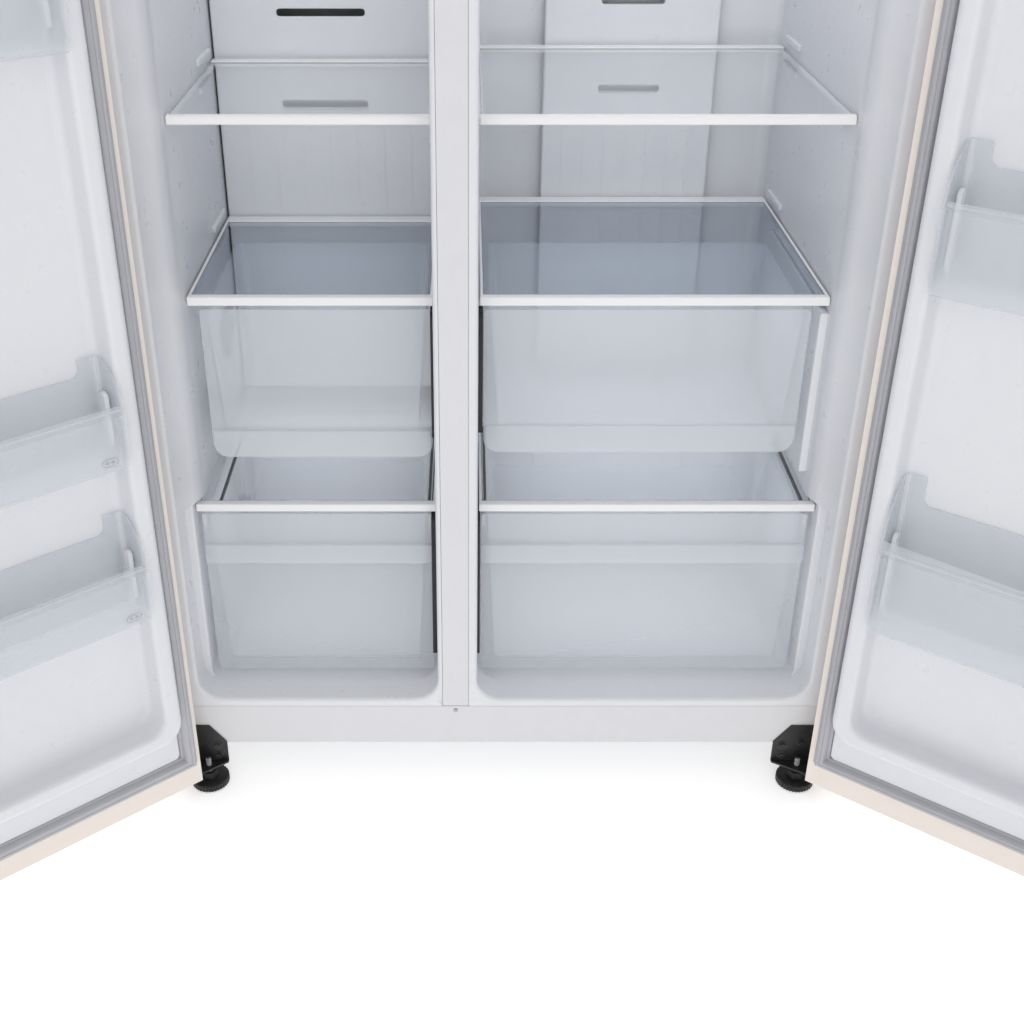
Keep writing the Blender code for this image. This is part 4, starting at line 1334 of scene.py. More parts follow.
@dataclass
class Shelves:
    """The glass shelves with their frames and trims."""

    trim_front: float = 0.012
    trim_back: float = 0.024

    def build(self) -> None:
        """Makes all the shelves."""
        for name in ("freezer", "fridge"):
            for level, glass in (("upper", TINTED_GLASS), ("lower", CLEAR_GLASS)):
                self.framed(f"{name}_{level}_shelf", glass)
            for number in (2, 3, 4):
                self.plain(f"{name}_shelf_{number}")

    def framed(self, name: str, glass: Finish) -> None:
        """A shelf whose glass lies in a white frame.

        Args:
            name: The shelf.
            glass: The finish of its glass.
        """
        frame_shape = Shape.of_node(f"{name}_frame", in_case())
        frame_shape.soften(0.0018, 3, 60.0).put(f"{name}_surround", in_case(), TRIM_PLASTIC, f"{name}_frame")
        low, high = in_case().box(f"{name}_glass")
        Shape().block(low, high, 0.0006, 2).put(f"{name}_pane", in_case(), glass, f"{name}_glass")

    def plain(self, name: str) -> None:
        """A shelf of glass with a white trim along its front and its back.

        Args:
            name: The shelf.
        """
        node = f"{name}_glass"
        low, high = in_case().box(node)
        pane_front, pane_back = low.y + 0.006, high.y - 0.006
        Shape().block(
            (low.x, pane_front, low.z + 0.0005), (high.x, pane_back, high.z - 0.0005), 0.0006, 2
        ).put(f"{name}_pane", in_case(), CLEAR_GLASS, node)
        trims = Shape()
        groove = Shape().block(
            (low.x - 0.001, pane_front - AIR, low.z + 0.0001),
            (high.x + 0.001, pane_back + AIR, high.z - 0.0001),
        )
        for start, end in ((low.y, low.y + self.trim_front), (high.y - self.trim_back, high.y)):
            outline = Plate((start, end), (low.z - 0.0050, high.z + 0.0012), 0.0030, 4).outline()
            trims.prism(outline, Axis.X, low.x, high.x)
        trims.combine(Cut.CARVE, groove).soften(0.0005, 2, 60.0)
        trims.put(f"{name}_trim", in_case(), TRIM_PLASTIC)


# ---- drawers


@dataclass
class Drawer:
    """A clear drawer: a tub that narrows downwards, behind a flat front with a pull band.

    Attributes:
        name: The CAD node's name, which is its body's too.
        band: The bottom and top of its pull band.
        upper: True for the ones under the upper shelves, whose band lies along the bottom of the front.
    """

    name: str
    band: tuple[float, float]
    upper: bool
    front: float = 0.0030
    plastic: float = 0.0025
    taper: float = 0.012
    lift: float = 0.012
    edge: float = 0.006

    def build(self) -> None:
        """Makes the drawer: the front and the tub are one moulding, and the pull band lies before it."""
        seat = in_case(self.name)
        low, high = seat.box(self.name)
        face = low.y + (0.005 if self.upper else 0.006)
        front = self.panel(low, high, face)
        outside, inside = self.tub(low, high, face)
        shape = front.combine(Cut.JOIN, outside).combine(Cut.CARVE, inside).soften(0.0007, 2, 50.0)
        shape.add(self.pull(low, high, face))
        shape.put(self.name.replace("_drawer", "_drawer_tub"), seat, CLEAR_PLASTIC, self.name)
        if not self.upper:
            self.clips(seat, low, high, face)

    def tub(self, low: Vector, high: Vector, face: float) -> tuple[Shape, Shape]:
        """The tub's outside and its inside. Both narrow downwards.

        Args:
            low: The low corner of its CAD box.
            high: The high corner.
            face: Y of its front.

        Returns:
            Its outside and its inside.
        """
        x = (low.x + self.edge, high.x - self.edge)
        top, floor = high.z - 0.004, low.z + self.lift
        corner = 0.018
        fillet = 0.010
        fall = top - floor
        foremost = face + self.front

        def form(inset: float, start_z: float, end_z: float, start_y: float) -> Shape:
            """The tub's outside, or its inside if inset.

            Args:
                inset: How far it stands in.
                start_z: Z of its top.
                end_z: Z of its bottom.
                start_y: Y of its front.

            Returns:
                The form.
            """
            radii = (0.004, 0.004, corner - inset, corner - inset)
            plate = Plate((x[0] + inset, x[1] - inset), (start_y, high.y - inset), radii, 5)
            depth = start_z - end_z
            steps = [(self.taper * depth / fall, depth - fillet), *shoulder(fillet, 4)]
            return Shape().rise(plate, Axis.Z, start_z, steps, back=True)

        outside = form(0.0, top, floor, foremost - 0.0130)
        inside = form(self.plastic, top + 0.001, floor + self.plastic, foremost - 0.0125)
        corner_low = (low.x - 0.010, face - 0.050, low.z - 0.010)
        for form_made, limit in ((outside, foremost - 0.0005), (inside, foremost)):
            before = Shape().block(corner_low, (high.x + 0.010, limit, high.z + 0.010))
            form_made.combine(Cut.CARVE, before)
        return outside, inside

    def panel(self, low: Vector, high: Vector, face: float) -> Shape:
        """The flat front, with round lower corners.

        Args:
            low: The low corner of its CAD box.
            high: The high corner.
            face: Y of its front.

        Returns:
            The panel.
        """
        radius = 0.020 if self.upper else 0.008
        plate = Plate((low.x, high.x), (low.z, high.z), (radius, radius, 0.004, 0.004))
        return Shape().prism(plate.outline(), Axis.Y, face, face + self.front)

    def pull(self, low: Vector, high: Vector, face: float) -> Shape:
        """The pull band across the front.

        Args:
            low: The low corner of its CAD box.
            high: The high corner.
            face: Y of its front.

        Returns:
            The pull.
        """
        reach = 0.005 if self.upper else 0.006
        if self.upper:
            sides = (low.x + 0.003, high.x - 0.003)
            plate = Plate(sides, (low.z + 0.003, self.band[1]), (0.017, 0.017, 0.002, 0.002))
        else:
            plate = Plate((low.x, high.x), self.band, 0.003, 4)
        band = Shape().prism(plate.outline(), Axis.Y, face - reach, face - 0.0002)
        hollow_low = (low.x + 0.006, face - reach + 0.0022, self.band[0] - 0.010)
        hollow_high = (high.x - 0.006, face + 0.002, self.band[1] - 0.0025)
        if self.upper:
            hollow_low = (low.x + 0.012, face - reach + 0.0022, low.z + 0.010)
        return band.combine(Cut.CARVE, Shape().block(hollow_low, hollow_high)).soften(0.0007, 2, 50.0)

    def clips(self, seat: Seat, low: Vector, high: Vector, face: float) -> None:
        """The white catches at the front's upper corners.

        Args:
            seat: Where the drawer sits.
            low: The low corner of its CAD box.
            high: The high corner.
            face: Y of its front.
        """
        shape = Shape()
        for x, way in ((low.x, 1), (high.x, -1)):
            reach = sorted((x + way * 0.0005, x + way * 0.0055))
            shape.block(
                (reach[0], face + self.front + 0.001, high.z - 0.022),
                (reach[1], face + self.front + 0.016, high.z - 0.003),
                0.0012,
                2,
            )
        shape.put(f"{self.name}_catches", seat, TRIM_PLASTIC)


@dataclass
class Drawers:
    """The four drawers and the black slides beside them."""

    def build(self) -> None:
        """Makes them all."""
        for column in ("freezer", "fridge"):
            for level, band in (("upper", None), ("lower", (0.3295, 0.3586))):
                name = f"{column}_{level}_drawer"
                low, _ = in_case().box(name)
                Drawer(name, band or (low.z, low.z + 0.0408), level == "upper").build()
        self.slides()

    def slides(self) -> None:
        """Black strips on the mullion's walls beside the drawers, and stops on the outer walls."""
        for room in COMPARTMENTS:
            upper_low, upper_high = in_case().box(f"{room.name}_upper_drawer")
            lower_low, lower_high = in_case().box(f"{room.name}_lower_drawer")
            lower_walls = room.span(room.lower_inset, room.lower_relief)
            shape = Shape()
            for (left, right), low, high in (
                (room.wall_x(), upper_low, upper_high),
                (lower_walls, lower_low, lower_high),
            ):
                wall_x, way = (right, -1) if room.side < 0 else (left, 1)
                gap = abs(wall_x - (low.x if way > 0 else high.x))
                reach = sorted((wall_x - way * 0.0005, wall_x + way * gap - 0.0010))
                outline = Plate((low.y - 0.002, high.y - 0.020), (low.z + 0.030, high.z - 0.002), 0.006, 4)
                shape.prism(outline.outline(), Axis.X, reach[0], reach[1], 0.0006, 2)
            inner_wall = lower_walls[1 if room.side < 0 else 0]
            runner_x = (0.387 if room.side < 0 else 0.404) * room.side
            for x in (runner_x, inner_wall + room.side * 0.0115):
                near = (x - 0.0019, lower_low.y + 0.012, 0.4062)
                shape.block(near, (x + 0.0019, lower_high.y + 0.026, 0.4108), 0.0005)
            if room.side < 0:
                outer = room.wall_x()[0]
                wedge = [(0.268, 0.592), (0.300, 0.601), (0.346, 0.598), (0.340, 0.566), (0.288, 0.534)]
                shape.prism(wedge, Axis.X, outer - 0.0005, outer + 0.0090, 0.0020, 3)
            shape.put(f"{room.name}_drawer_slides", in_case(), BLACK_PLASTIC)


# ---- doors


@dataclass
class Door:
    """One door with its liner, gasket and bins.

    Attributes:
        name: The body's name.
        side: -1 if it is hinged at low X, 1 if at high X.
    """

    name: str
    side: int
    face_y: float = -0.017
    gasket: tuple[float, float] = (0.0065, 0.0300)
    gasket_height: float = 0.0143
    band: float = 0.0360
    dike_side: tuple[float, float] = (0.033, 0.058)
    dike_bottom: float = 0.115
    dike_height: float = 0.036
    plateau: float = 0.006
    floor: float = 0.0015
    bins: dict[str, tuple[float, float]] = field(default_factory=dict)
    width: float = 0.0
    bottom: float = 0.0
    top: float = 0.0

    def __post_init__(self) -> None:
        """Works out where the door's own coordinates lie, and its size."""
        joint = next(j for j in frame["joints"] if j["child"] == self.name)
        pin = Vector(joint["pos_m"])
        opened = self.side * math.radians(-joint["range_deg"][0])
        turn = Matrix.Translation(pin) @ Matrix.Rotation(opened, 4, "Z") @ Matrix.Translation(-pin)
        closed = Matrix(
            (
                (-self.side, 0.0, 0.0, self.side * HALF_WIDTH),
                (0.0, 1.0, 0.0, self.face_y),
                (0.0, 0.0, 1.0, 0.0),
                (0.0, 0.0, 0.0, 1.0),
            )
        )
        self.seat = Seat(self.name, turn @ Matrix.Translation(CASE_ORIGIN) @ closed)
        low, high = self.seat.box(f"{self.name}_panel")
        self.width, self.bottom, self.top = high.x, low.z, high.z

    def build(self) -> None:
        """Makes the door."""
        self.panel()
        self.liner()
        self.seal()
        for level, (rail, peak) in self.bins.items():
            self.bin(level, rail, peak)
        self.foam()

    def foam(self) -> None:
        """The foam between the sheets, lower than the ring of the inner sheet that it fills."""
        node = f"{self.name}_insulation"
        low, high = self.seat.box(node)
        floor = (low.x - 0.01, self.dike_height - 0.008, low.z - 0.01)
        lid = Shape().block(floor, (high.x + 0.01, 0.1, high.z + 0.01))
        foam = Shape.of_node(node, self.seat).combine(Cut.CARVE, lid)
        foam.put(f"{self.name}_foam", self.seat, FOAM, node)

    def panel(self) -> None:
        """The painted outer sheet. Its outer corners are round, and its lip turns in behind the gasket."""
        shape = Shape.of_node(f"{self.name}_panel", self.seat)
        low, high = self.seat.box(f"{self.name}_panel")

        def on_outside(vert: bmesh.types.BMVert) -> int:
            """How many of the door's outer planes the point lies in."""
            planes = [(vert.co[axis], (low[axis], high[axis])) for axis in range(3)]
            return sum(min(abs(value - end) for end in ends) < 1e-4 for value, ends in planes)

        corners = [
            edge
            for edge in shape.bm.edges
            if edge.calc_face_angle(0.0) > 1.0
            and min(on_outside(vert) for vert in edge.verts) >= 2
            and abs(sum(v.co.y for v in edge.verts) / 2 - low.y) < 1e-4
        ]
        shape.round_edges(corners, 0.0022, 3)
        shape.soften(0.0005, 2, 60.0)
        lip_start = 0.0056
        rings = [
            [
                Axis.Y.point(along, x, z)
                for x, z in self.ring(side, self.band - 0.0063 + side, 0.0015).outline()
            ]
            for along, side in (
                (-0.0008, lip_start),
                (0.0004, lip_start),
                (0.0006, lip_start + 0.0004),
                (0.0006, self.gasket[0] + 0.0008),
                (-0.0008, self.gasket[0] + 0.0008),
            )
        ]
        shape.loft(rings, ends=False)
        shape.put(f"{self.name}_sheet", self.seat, CREAM_PAINT, f"{self.name}_panel")

    def ring(self, side: float, end: float, radius: float) -> Plate:
        """A rectangle that stands in from the door's sides and ends, with round corners."""
        return Plate((side, self.width - side), (self.bottom + end, self.top - end), radius, 8)

    def liner(self) -> None:
        """The inner sheet: a plateau inside the gasket, and on it the ring that enters the compartment."""
        edge = self.gasket[0] + 0.0010
        border_ring = self.ring(edge, self.band - 0.0063 + edge, 0.002)
        border = Shape().rise(border_ring, Axis.Y, -0.0009, [(0.0, 0.0014)])
        inner = self.gasket[1] + 0.0010
        plateau_steps = [(0.0, self.plateau - 0.0022 + 0.0003), *shoulder(0.0022, 4)]
        plate = self.ring(inner, self.band - 0.0062 + inner, 0.008)
        plateau = Shape().rise(plate, Axis.Y, -0.0003, plateau_steps)
        crest = 0.009
        ring_steps = [(0.0, self.dike_height - crest), *shoulder(crest, 6)]
        ring = Shape().rise(self.ring(self.dike_side[0], self.dike_bottom, 0.032), Axis.Y, 0.0, ring_steps)
        lip = 0.007
        fillet = 0.010
        inner_side = self.dike_side[1] - lip
        inner_end = self.dike_bottom + self.dike_side[1] - self.dike_side[0] - lip
        recess_steps = [
            (0.0, 0.0005),
            *flare(lip, 5),
            (0.002, self.dike_height - self.floor - lip - fillet),
            *shoulder(fillet, 5),
        ]
        recess = Shape().rise(
            self.ring(inner_side, inner_end, 0.030),
            Axis.Y,
            self.dike_height + 0.0005,
            recess_steps,
            back=True,
        )
        body = border.combine(Cut.JOIN, plateau, ring).combine(Cut.CARVE, recess)
        body.put(f"{self.name}_inner_sheet", self.seat, LINER_PLASTIC, f"{self.name}_liner", smooth=40.0)

    def seal(self) -> None:
        """The gasket: a flat foot, a soft bulb with a groove, and a thin lip on the inner side."""
        start = 0.0009
        height = self.gasket_height - start - 0.0002
        wide = self.gasket[1] - self.gasket[0]
        places = [
            (0.0, 0.0),
            (0.0, 0.0022),
            (0.0010, 0.0030),
            (0.0034, 0.0034),
            (0.0042, 0.0052),
            (0.0052, height * 0.78),
            (0.0066, height * 0.94),
            (0.0084, height),
            (0.0108, height),
            (0.0114, height - 0.0009),
            (0.0122, height - 0.0009),
            (0.0128, height),
            (wide - 0.0066, height),
            (wide - 0.0052, height * 0.94),
            (wide - 0.0040, height * 0.70),
            (wide - 0.0032, 0.0046),
            (wide - 0.0006, 0.0036),
            (wide, 0.0028),
            (wide, 0.0),
        ]
        steps = [(b[0] - a[0], b[1] - a[1]) for a, b in zip(places, places[1:])]
        plate = self.ring(self.gasket[0], self.band - 0.0062 + self.gasket[0], 0.005)
        shape = Shape().rise(plate, Axis.Y, start, steps, ends=False)
        shape.put(f"{self.name}_seal", self.seat, GASKET_VINYL, f"{self.name}_gasket", smooth=50.0)

    def bin(self, level: str, rail: float, peak: float) -> None:
        """A clear bin.

        Args:
            level: Its name.
            rail: The height of its front rail over its floor.
            peak: The height of its back corners over its floor.
        """
        node = f"{self.name}_bin_{level}"
        low, high = self.seat.box(node)
        front, back = high.y, low.y
        plastic = 0.0026
        rise = peak - rail
        shares = (
            (0.0, 0.0), (0.04, 0.18), (0.11, 0.36), (0.22, 0.53), (0.38, 0.68), (0.62, 0.85), (0.84, 0.97),
        )
        run = front - back - 0.012
        crown = [(front - 0.003 - run * deep, low.z + rail + rise * up) for deep, up in shares]
        outline = [
            (back, low.z + 0.004),
            (back + 0.004, low.z),
            (front - 0.012, low.z),
            (front - 0.006, low.z + 0.004),
            (front, low.z + rail - 0.004),
            *crown,
            (back + 0.003, high.z),
            (back, high.z - 0.003),
        ]
        body = Shape().prism(outline, Axis.X, low.x, high.x)
        depths = (back + plastic, front - 0.006 - plastic)
        inside_plate = Plate((low.x + plastic, high.x - plastic), depths, 0.008)
        inside = Shape().rise(
            inside_plate, Axis.Z, high.z + 0.010,
            [(0.0, 0.0001), (0.0, high.z + 0.010 - low.z - plastic - 0.004), *shoulder(0.004, 3)], back=True,
        )
        wall_top = low.z + rail
        step_height = wall_top + rise * 0.55
        corner = 0.010
        notch_x = (low.x + plastic + 0.022, high.x - plastic - 0.022)
        notch = Shape().prism(
            Plate(notch_x, (step_height, high.z + 0.050), (corner, corner, 0.001, 0.001)).outline(),
            Axis.Y, back - 0.010, front - 0.020,
        )
        front_cut = Shape().block(
            (low.x + plastic, front - 0.030, wall_top), (high.x - plastic, front + 0.010, high.z + 0.050)
        )
        body = body.combine(Cut.CARVE, inside, notch, front_cut)
        body.soften(0.0007, 2, 50.0)
        body.add(
            Shape().block(
                (low.x + 0.004, front - 0.0090, wall_top + 0.0002),
                (high.x - 0.004, front - 0.0008, wall_top + 0.0050),
                0.0018,
                3,
            )
        )
        body.put(f"{self.name}_pocket_{level}", self.seat, CLEAR_PLASTIC, node)
        self.lugs(level, low, high, rail)
        if self.side < 0 and level != "upper":
            self.mark(level, low, high)

    def mark(self, level: str, low: Vector, high: Vector) -> None:
        """The small frozen storage mark on a bin's front: a rounded outline round two stars.

        Args:
            level: Which bin.
            low: The low corner of its CAD box.
            high: The high corner.
        """
        width, height, line = 0.020, 0.0095, 0.0006
        left, bottom = low.x + 0.016, low.z + 0.0125
        face = high.y - 0.0036
        outer = Plate((left, left + width), (bottom, bottom + height), height / 2 - 0.0001)
        inner = Plate(
            (left + line, left + width - line), (bottom + line, bottom + height - line), height / 2 - line
        )
        rings = [
            [Axis.Y.point(along, x, z) for x, z in plate.outline()]
            for along, plate in (
                (face, outer), (face + 0.0005, outer), (face + 0.0005, inner), (face, inner),
            )
        ]
        shape = Shape().loft(rings, ends=False)
        for middle in (left + width * 0.32, left + width * 0.68):
            centre = (middle, bottom + height / 2)
            points = [
                arc(centre, 0.0029 if number % 2 == 0 else 0.0011, 90.0 + number * 45.0, 90.0, 1)[0]
                for number in range(8)
            ]
            shape.prism(points, Axis.Y, face, face + 0.0005)
        shape.put(f"{self.name}_mark_{level}", self.seat, GASKET_VINYL)

    def lugs(self, level: str, low: Vector, high: Vector, rail: float) -> None:
        """The two upright lugs of the liner that the bin hangs on.

        Args:
            level: Which bin.
            low: The low corner of its CAD box.
            high: The high corner.
            rail: The height of its front rail.
        """
        shape = Shape()
        for start, way in ((low.x + 0.0030, 1), (high.x - 0.0030, -1)):
            plate = Plate((0.016, 0.030), (low.z + 0.020, low.z + rail + 0.012), 0.0068)
            shape.prism(plate.outline(), Axis.X, start + way * 0.0006, start + way * 0.0066, 0.0018, 3)
        shape.put(f"{self.name}_lugs_{level}", self.seat, LINER_PLASTIC)


# ---- hinges, feet, rollers


@dataclass
class Hardware:
    """Brackets, top hinges with their caps, levelling feet and rollers."""

    teeth: int = 36

    def build(self) -> None:
        """Makes them on both sides."""
        for name, side in (("left", -1), ("right", 1)):
            self.bracket(name, side)
            self.top_hinge(name)
            self.foot(name)
            self.roller(name)

    def bracket(self, name: str, side: int) -> None:
        """The lower bracket with its pin, and its bolts.

        Args:
            name: left or right.
            side: -1 at low X, 1 at high X.
        """
        node = f"lower_hinge_{name}"
        Shape.of_node(node, in_case()).soften(0.0007, 2, 50.0).put(
            f"lower_bracket_{name}", in_case(), BLACK_PAINT, node
        )
        low, high = in_case().box(node)
        inner = abs(low.x if side > 0 else high.x)
        flange = -0.0023
        bolts = Shape()
        for reach, z in ((0.014, 0.040), (0.014, 0.058), (0.040, 0.0625)):
            centre = (side * (inner + reach), flange, z)
            bolts.turn(
                [
                    (0.0, 0.0), (0.0068, 0.0), (0.0068, -0.0008), (0.0046, -0.0010), (0.0042, -0.0036),
                    (0.0, -0.0038),
                ],
                centre,
                Axis.Y,
                24,
            )
        bolts.put(f"bracket_bolts_{name}", in_case(), BLACK_PAINT)

    def top_hinge(self, name: str) -> None:
        """The upper hinge plate, and the cap over it.

        Args:
            name: left or right.
        """
        node = f"upper_hinge_{name}"
        Shape.of_node(node, in_case()).soften(0.0006, 2, 50.0).put(
            f"upper_plate_{name}", in_case(), ZINC_SHEET, node
        )
        cover = f"upper_hinge_cover_{name}"
        low, high = in_case().box(cover)
        plate = Plate((low.x, high.x), (low.y, high.y), 0.016)
        rounding = 0.012
        height = high.z - low.z
        cap = Shape().rise(plate, Axis.Z, low.z, [(0.002, height - rounding), *shoulder(rounding)])
        inset = 0.0022
        inner = Plate((low.x + inset, high.x - inset), (low.y + inset, high.y - inset), 0.014)
        inner_steps = [(0.002, height - rounding - 0.001), *shoulder(0.010)]
        hollow = Shape().rise(inner, Axis.Z, low.z - 0.001, inner_steps)
        cap.combine(Cut.CARVE, hollow).put(f"hinge_cap_{name}", in_case(), TRIM_PLASTIC, cover)

    def foot(self, name: str) -> None:
        """A levelling foot: a toothed disc on a threaded stem.

        Args:
            name: left or right.
        """
        node = f"levelling_foot_{name}"
        seat = in_case(node)
        low, high = seat.box(node)
        centre = ((low.x + high.x) / 2, (low.y + high.y) / 2)
        radius = (high.x - low.x) / 2 - 0.0001
        disc = Shape()
        points: Outline = []
        for tooth in range(self.teeth):
            waist = radius - 0.0014
            for offset, reach in ((0.0, waist), (0.25, radius), (0.62, radius), (0.87, waist)):
                turn = math.tau * (tooth + offset) / self.teeth
                points.append((centre[0] + reach * math.cos(turn), centre[1] + reach * math.sin(turn)))
        shrunk = [(1.0, 0.0014), (1.0, 0.0104), (0.965, 0.0112), (0.74, 0.0121)]
        disc.loft(
            [
                [
                    (centre[0] + (x - centre[0]) * share, centre[1] + (y - centre[1]) * share, z)
                    for x, y in points
                ]
                for share, z in shrunk
            ]
        )
        disc.turn(
            [(0.0, 0.0), (radius - 0.0042, 0.0), (radius - 0.0032, 0.0013), (0.0, 0.0013)],
            (*centre, 0.0001),
            Axis.Z,
            48,
        )
        disc.turn(
            [(0.0, 0.0122), (0.0125, 0.0122), (0.0105, 0.0200), (0.0, 0.0200)], (*centre, 0.0), Axis.Z, 6
        )
        disc.put(f"foot_disc_{name}", seat, BLACK_PLASTIC, node)
        turns = 16
        pitch = (high.z - 0.0005 - 0.0202) / turns
        profile: Outline = [(0.0, 0.0202)]
        for number in range(turns):
            start = 0.0202 + pitch * number
            profile += [(0.0034, start), (0.0040, start + pitch * 0.5)]
        profile += [(0.0030, high.z - 0.0003), (0.0, high.z - 0.0003)]
        stem = Shape().turn(profile, (*centre, 0.0), Axis.Z, 20)
        stem.put(f"foot_stem_{name}", seat, BOLT_STEEL)

    def roller(self, name: str) -> None:
        """A rear roller: a wheel with a crowned tread, on a steel axle.

        Args:
            name: left or right.
        """
        node = f"rear_roller_{name}"
        seat = in_case(node)
        low, high = seat.box(node)
        centre = (Vector(low) + Vector(high)) / 2
        radius = (high.z - low.z) / 2
        half = 0.0098
        wheel = Shape().turn(
            [
                (0.0046, -half),
                (0.0100, -half),
                (0.0110, -half + 0.0030),
                (radius - 0.0050, -half + 0.0030),
                (radius - 0.0040, -half),
                (radius - 0.0012, -half),
                (radius, -half + 0.0014),
                (radius, half - 0.0014),
                (radius - 0.0012, half),
                (radius - 0.0040, half),
                (radius - 0.0050, half - 0.0030),
                (0.0110, half - 0.0030),
                (0.0100, half),
                (0.0046, half),
                (0.0046, -half),
            ],
            centre,
            Axis.X,
            48,
        )
        wheel.put(f"roller_wheel_{name}", seat, BLACK_PLASTIC, node)
        reach = (high.x - low.x) / 2
        axle = Shape().turn(
            [(0.0, -reach), (0.0034, -reach), (0.0040, -reach + 0.0006), (0.0040, reach - 0.0006),
             (0.0034, reach), (0.0, reach)],
            centre,
            Axis.X,
            24,
        )
        axle.put(f"roller_pin_{name}", seat, BOLT_STEEL)


# ---- machine room


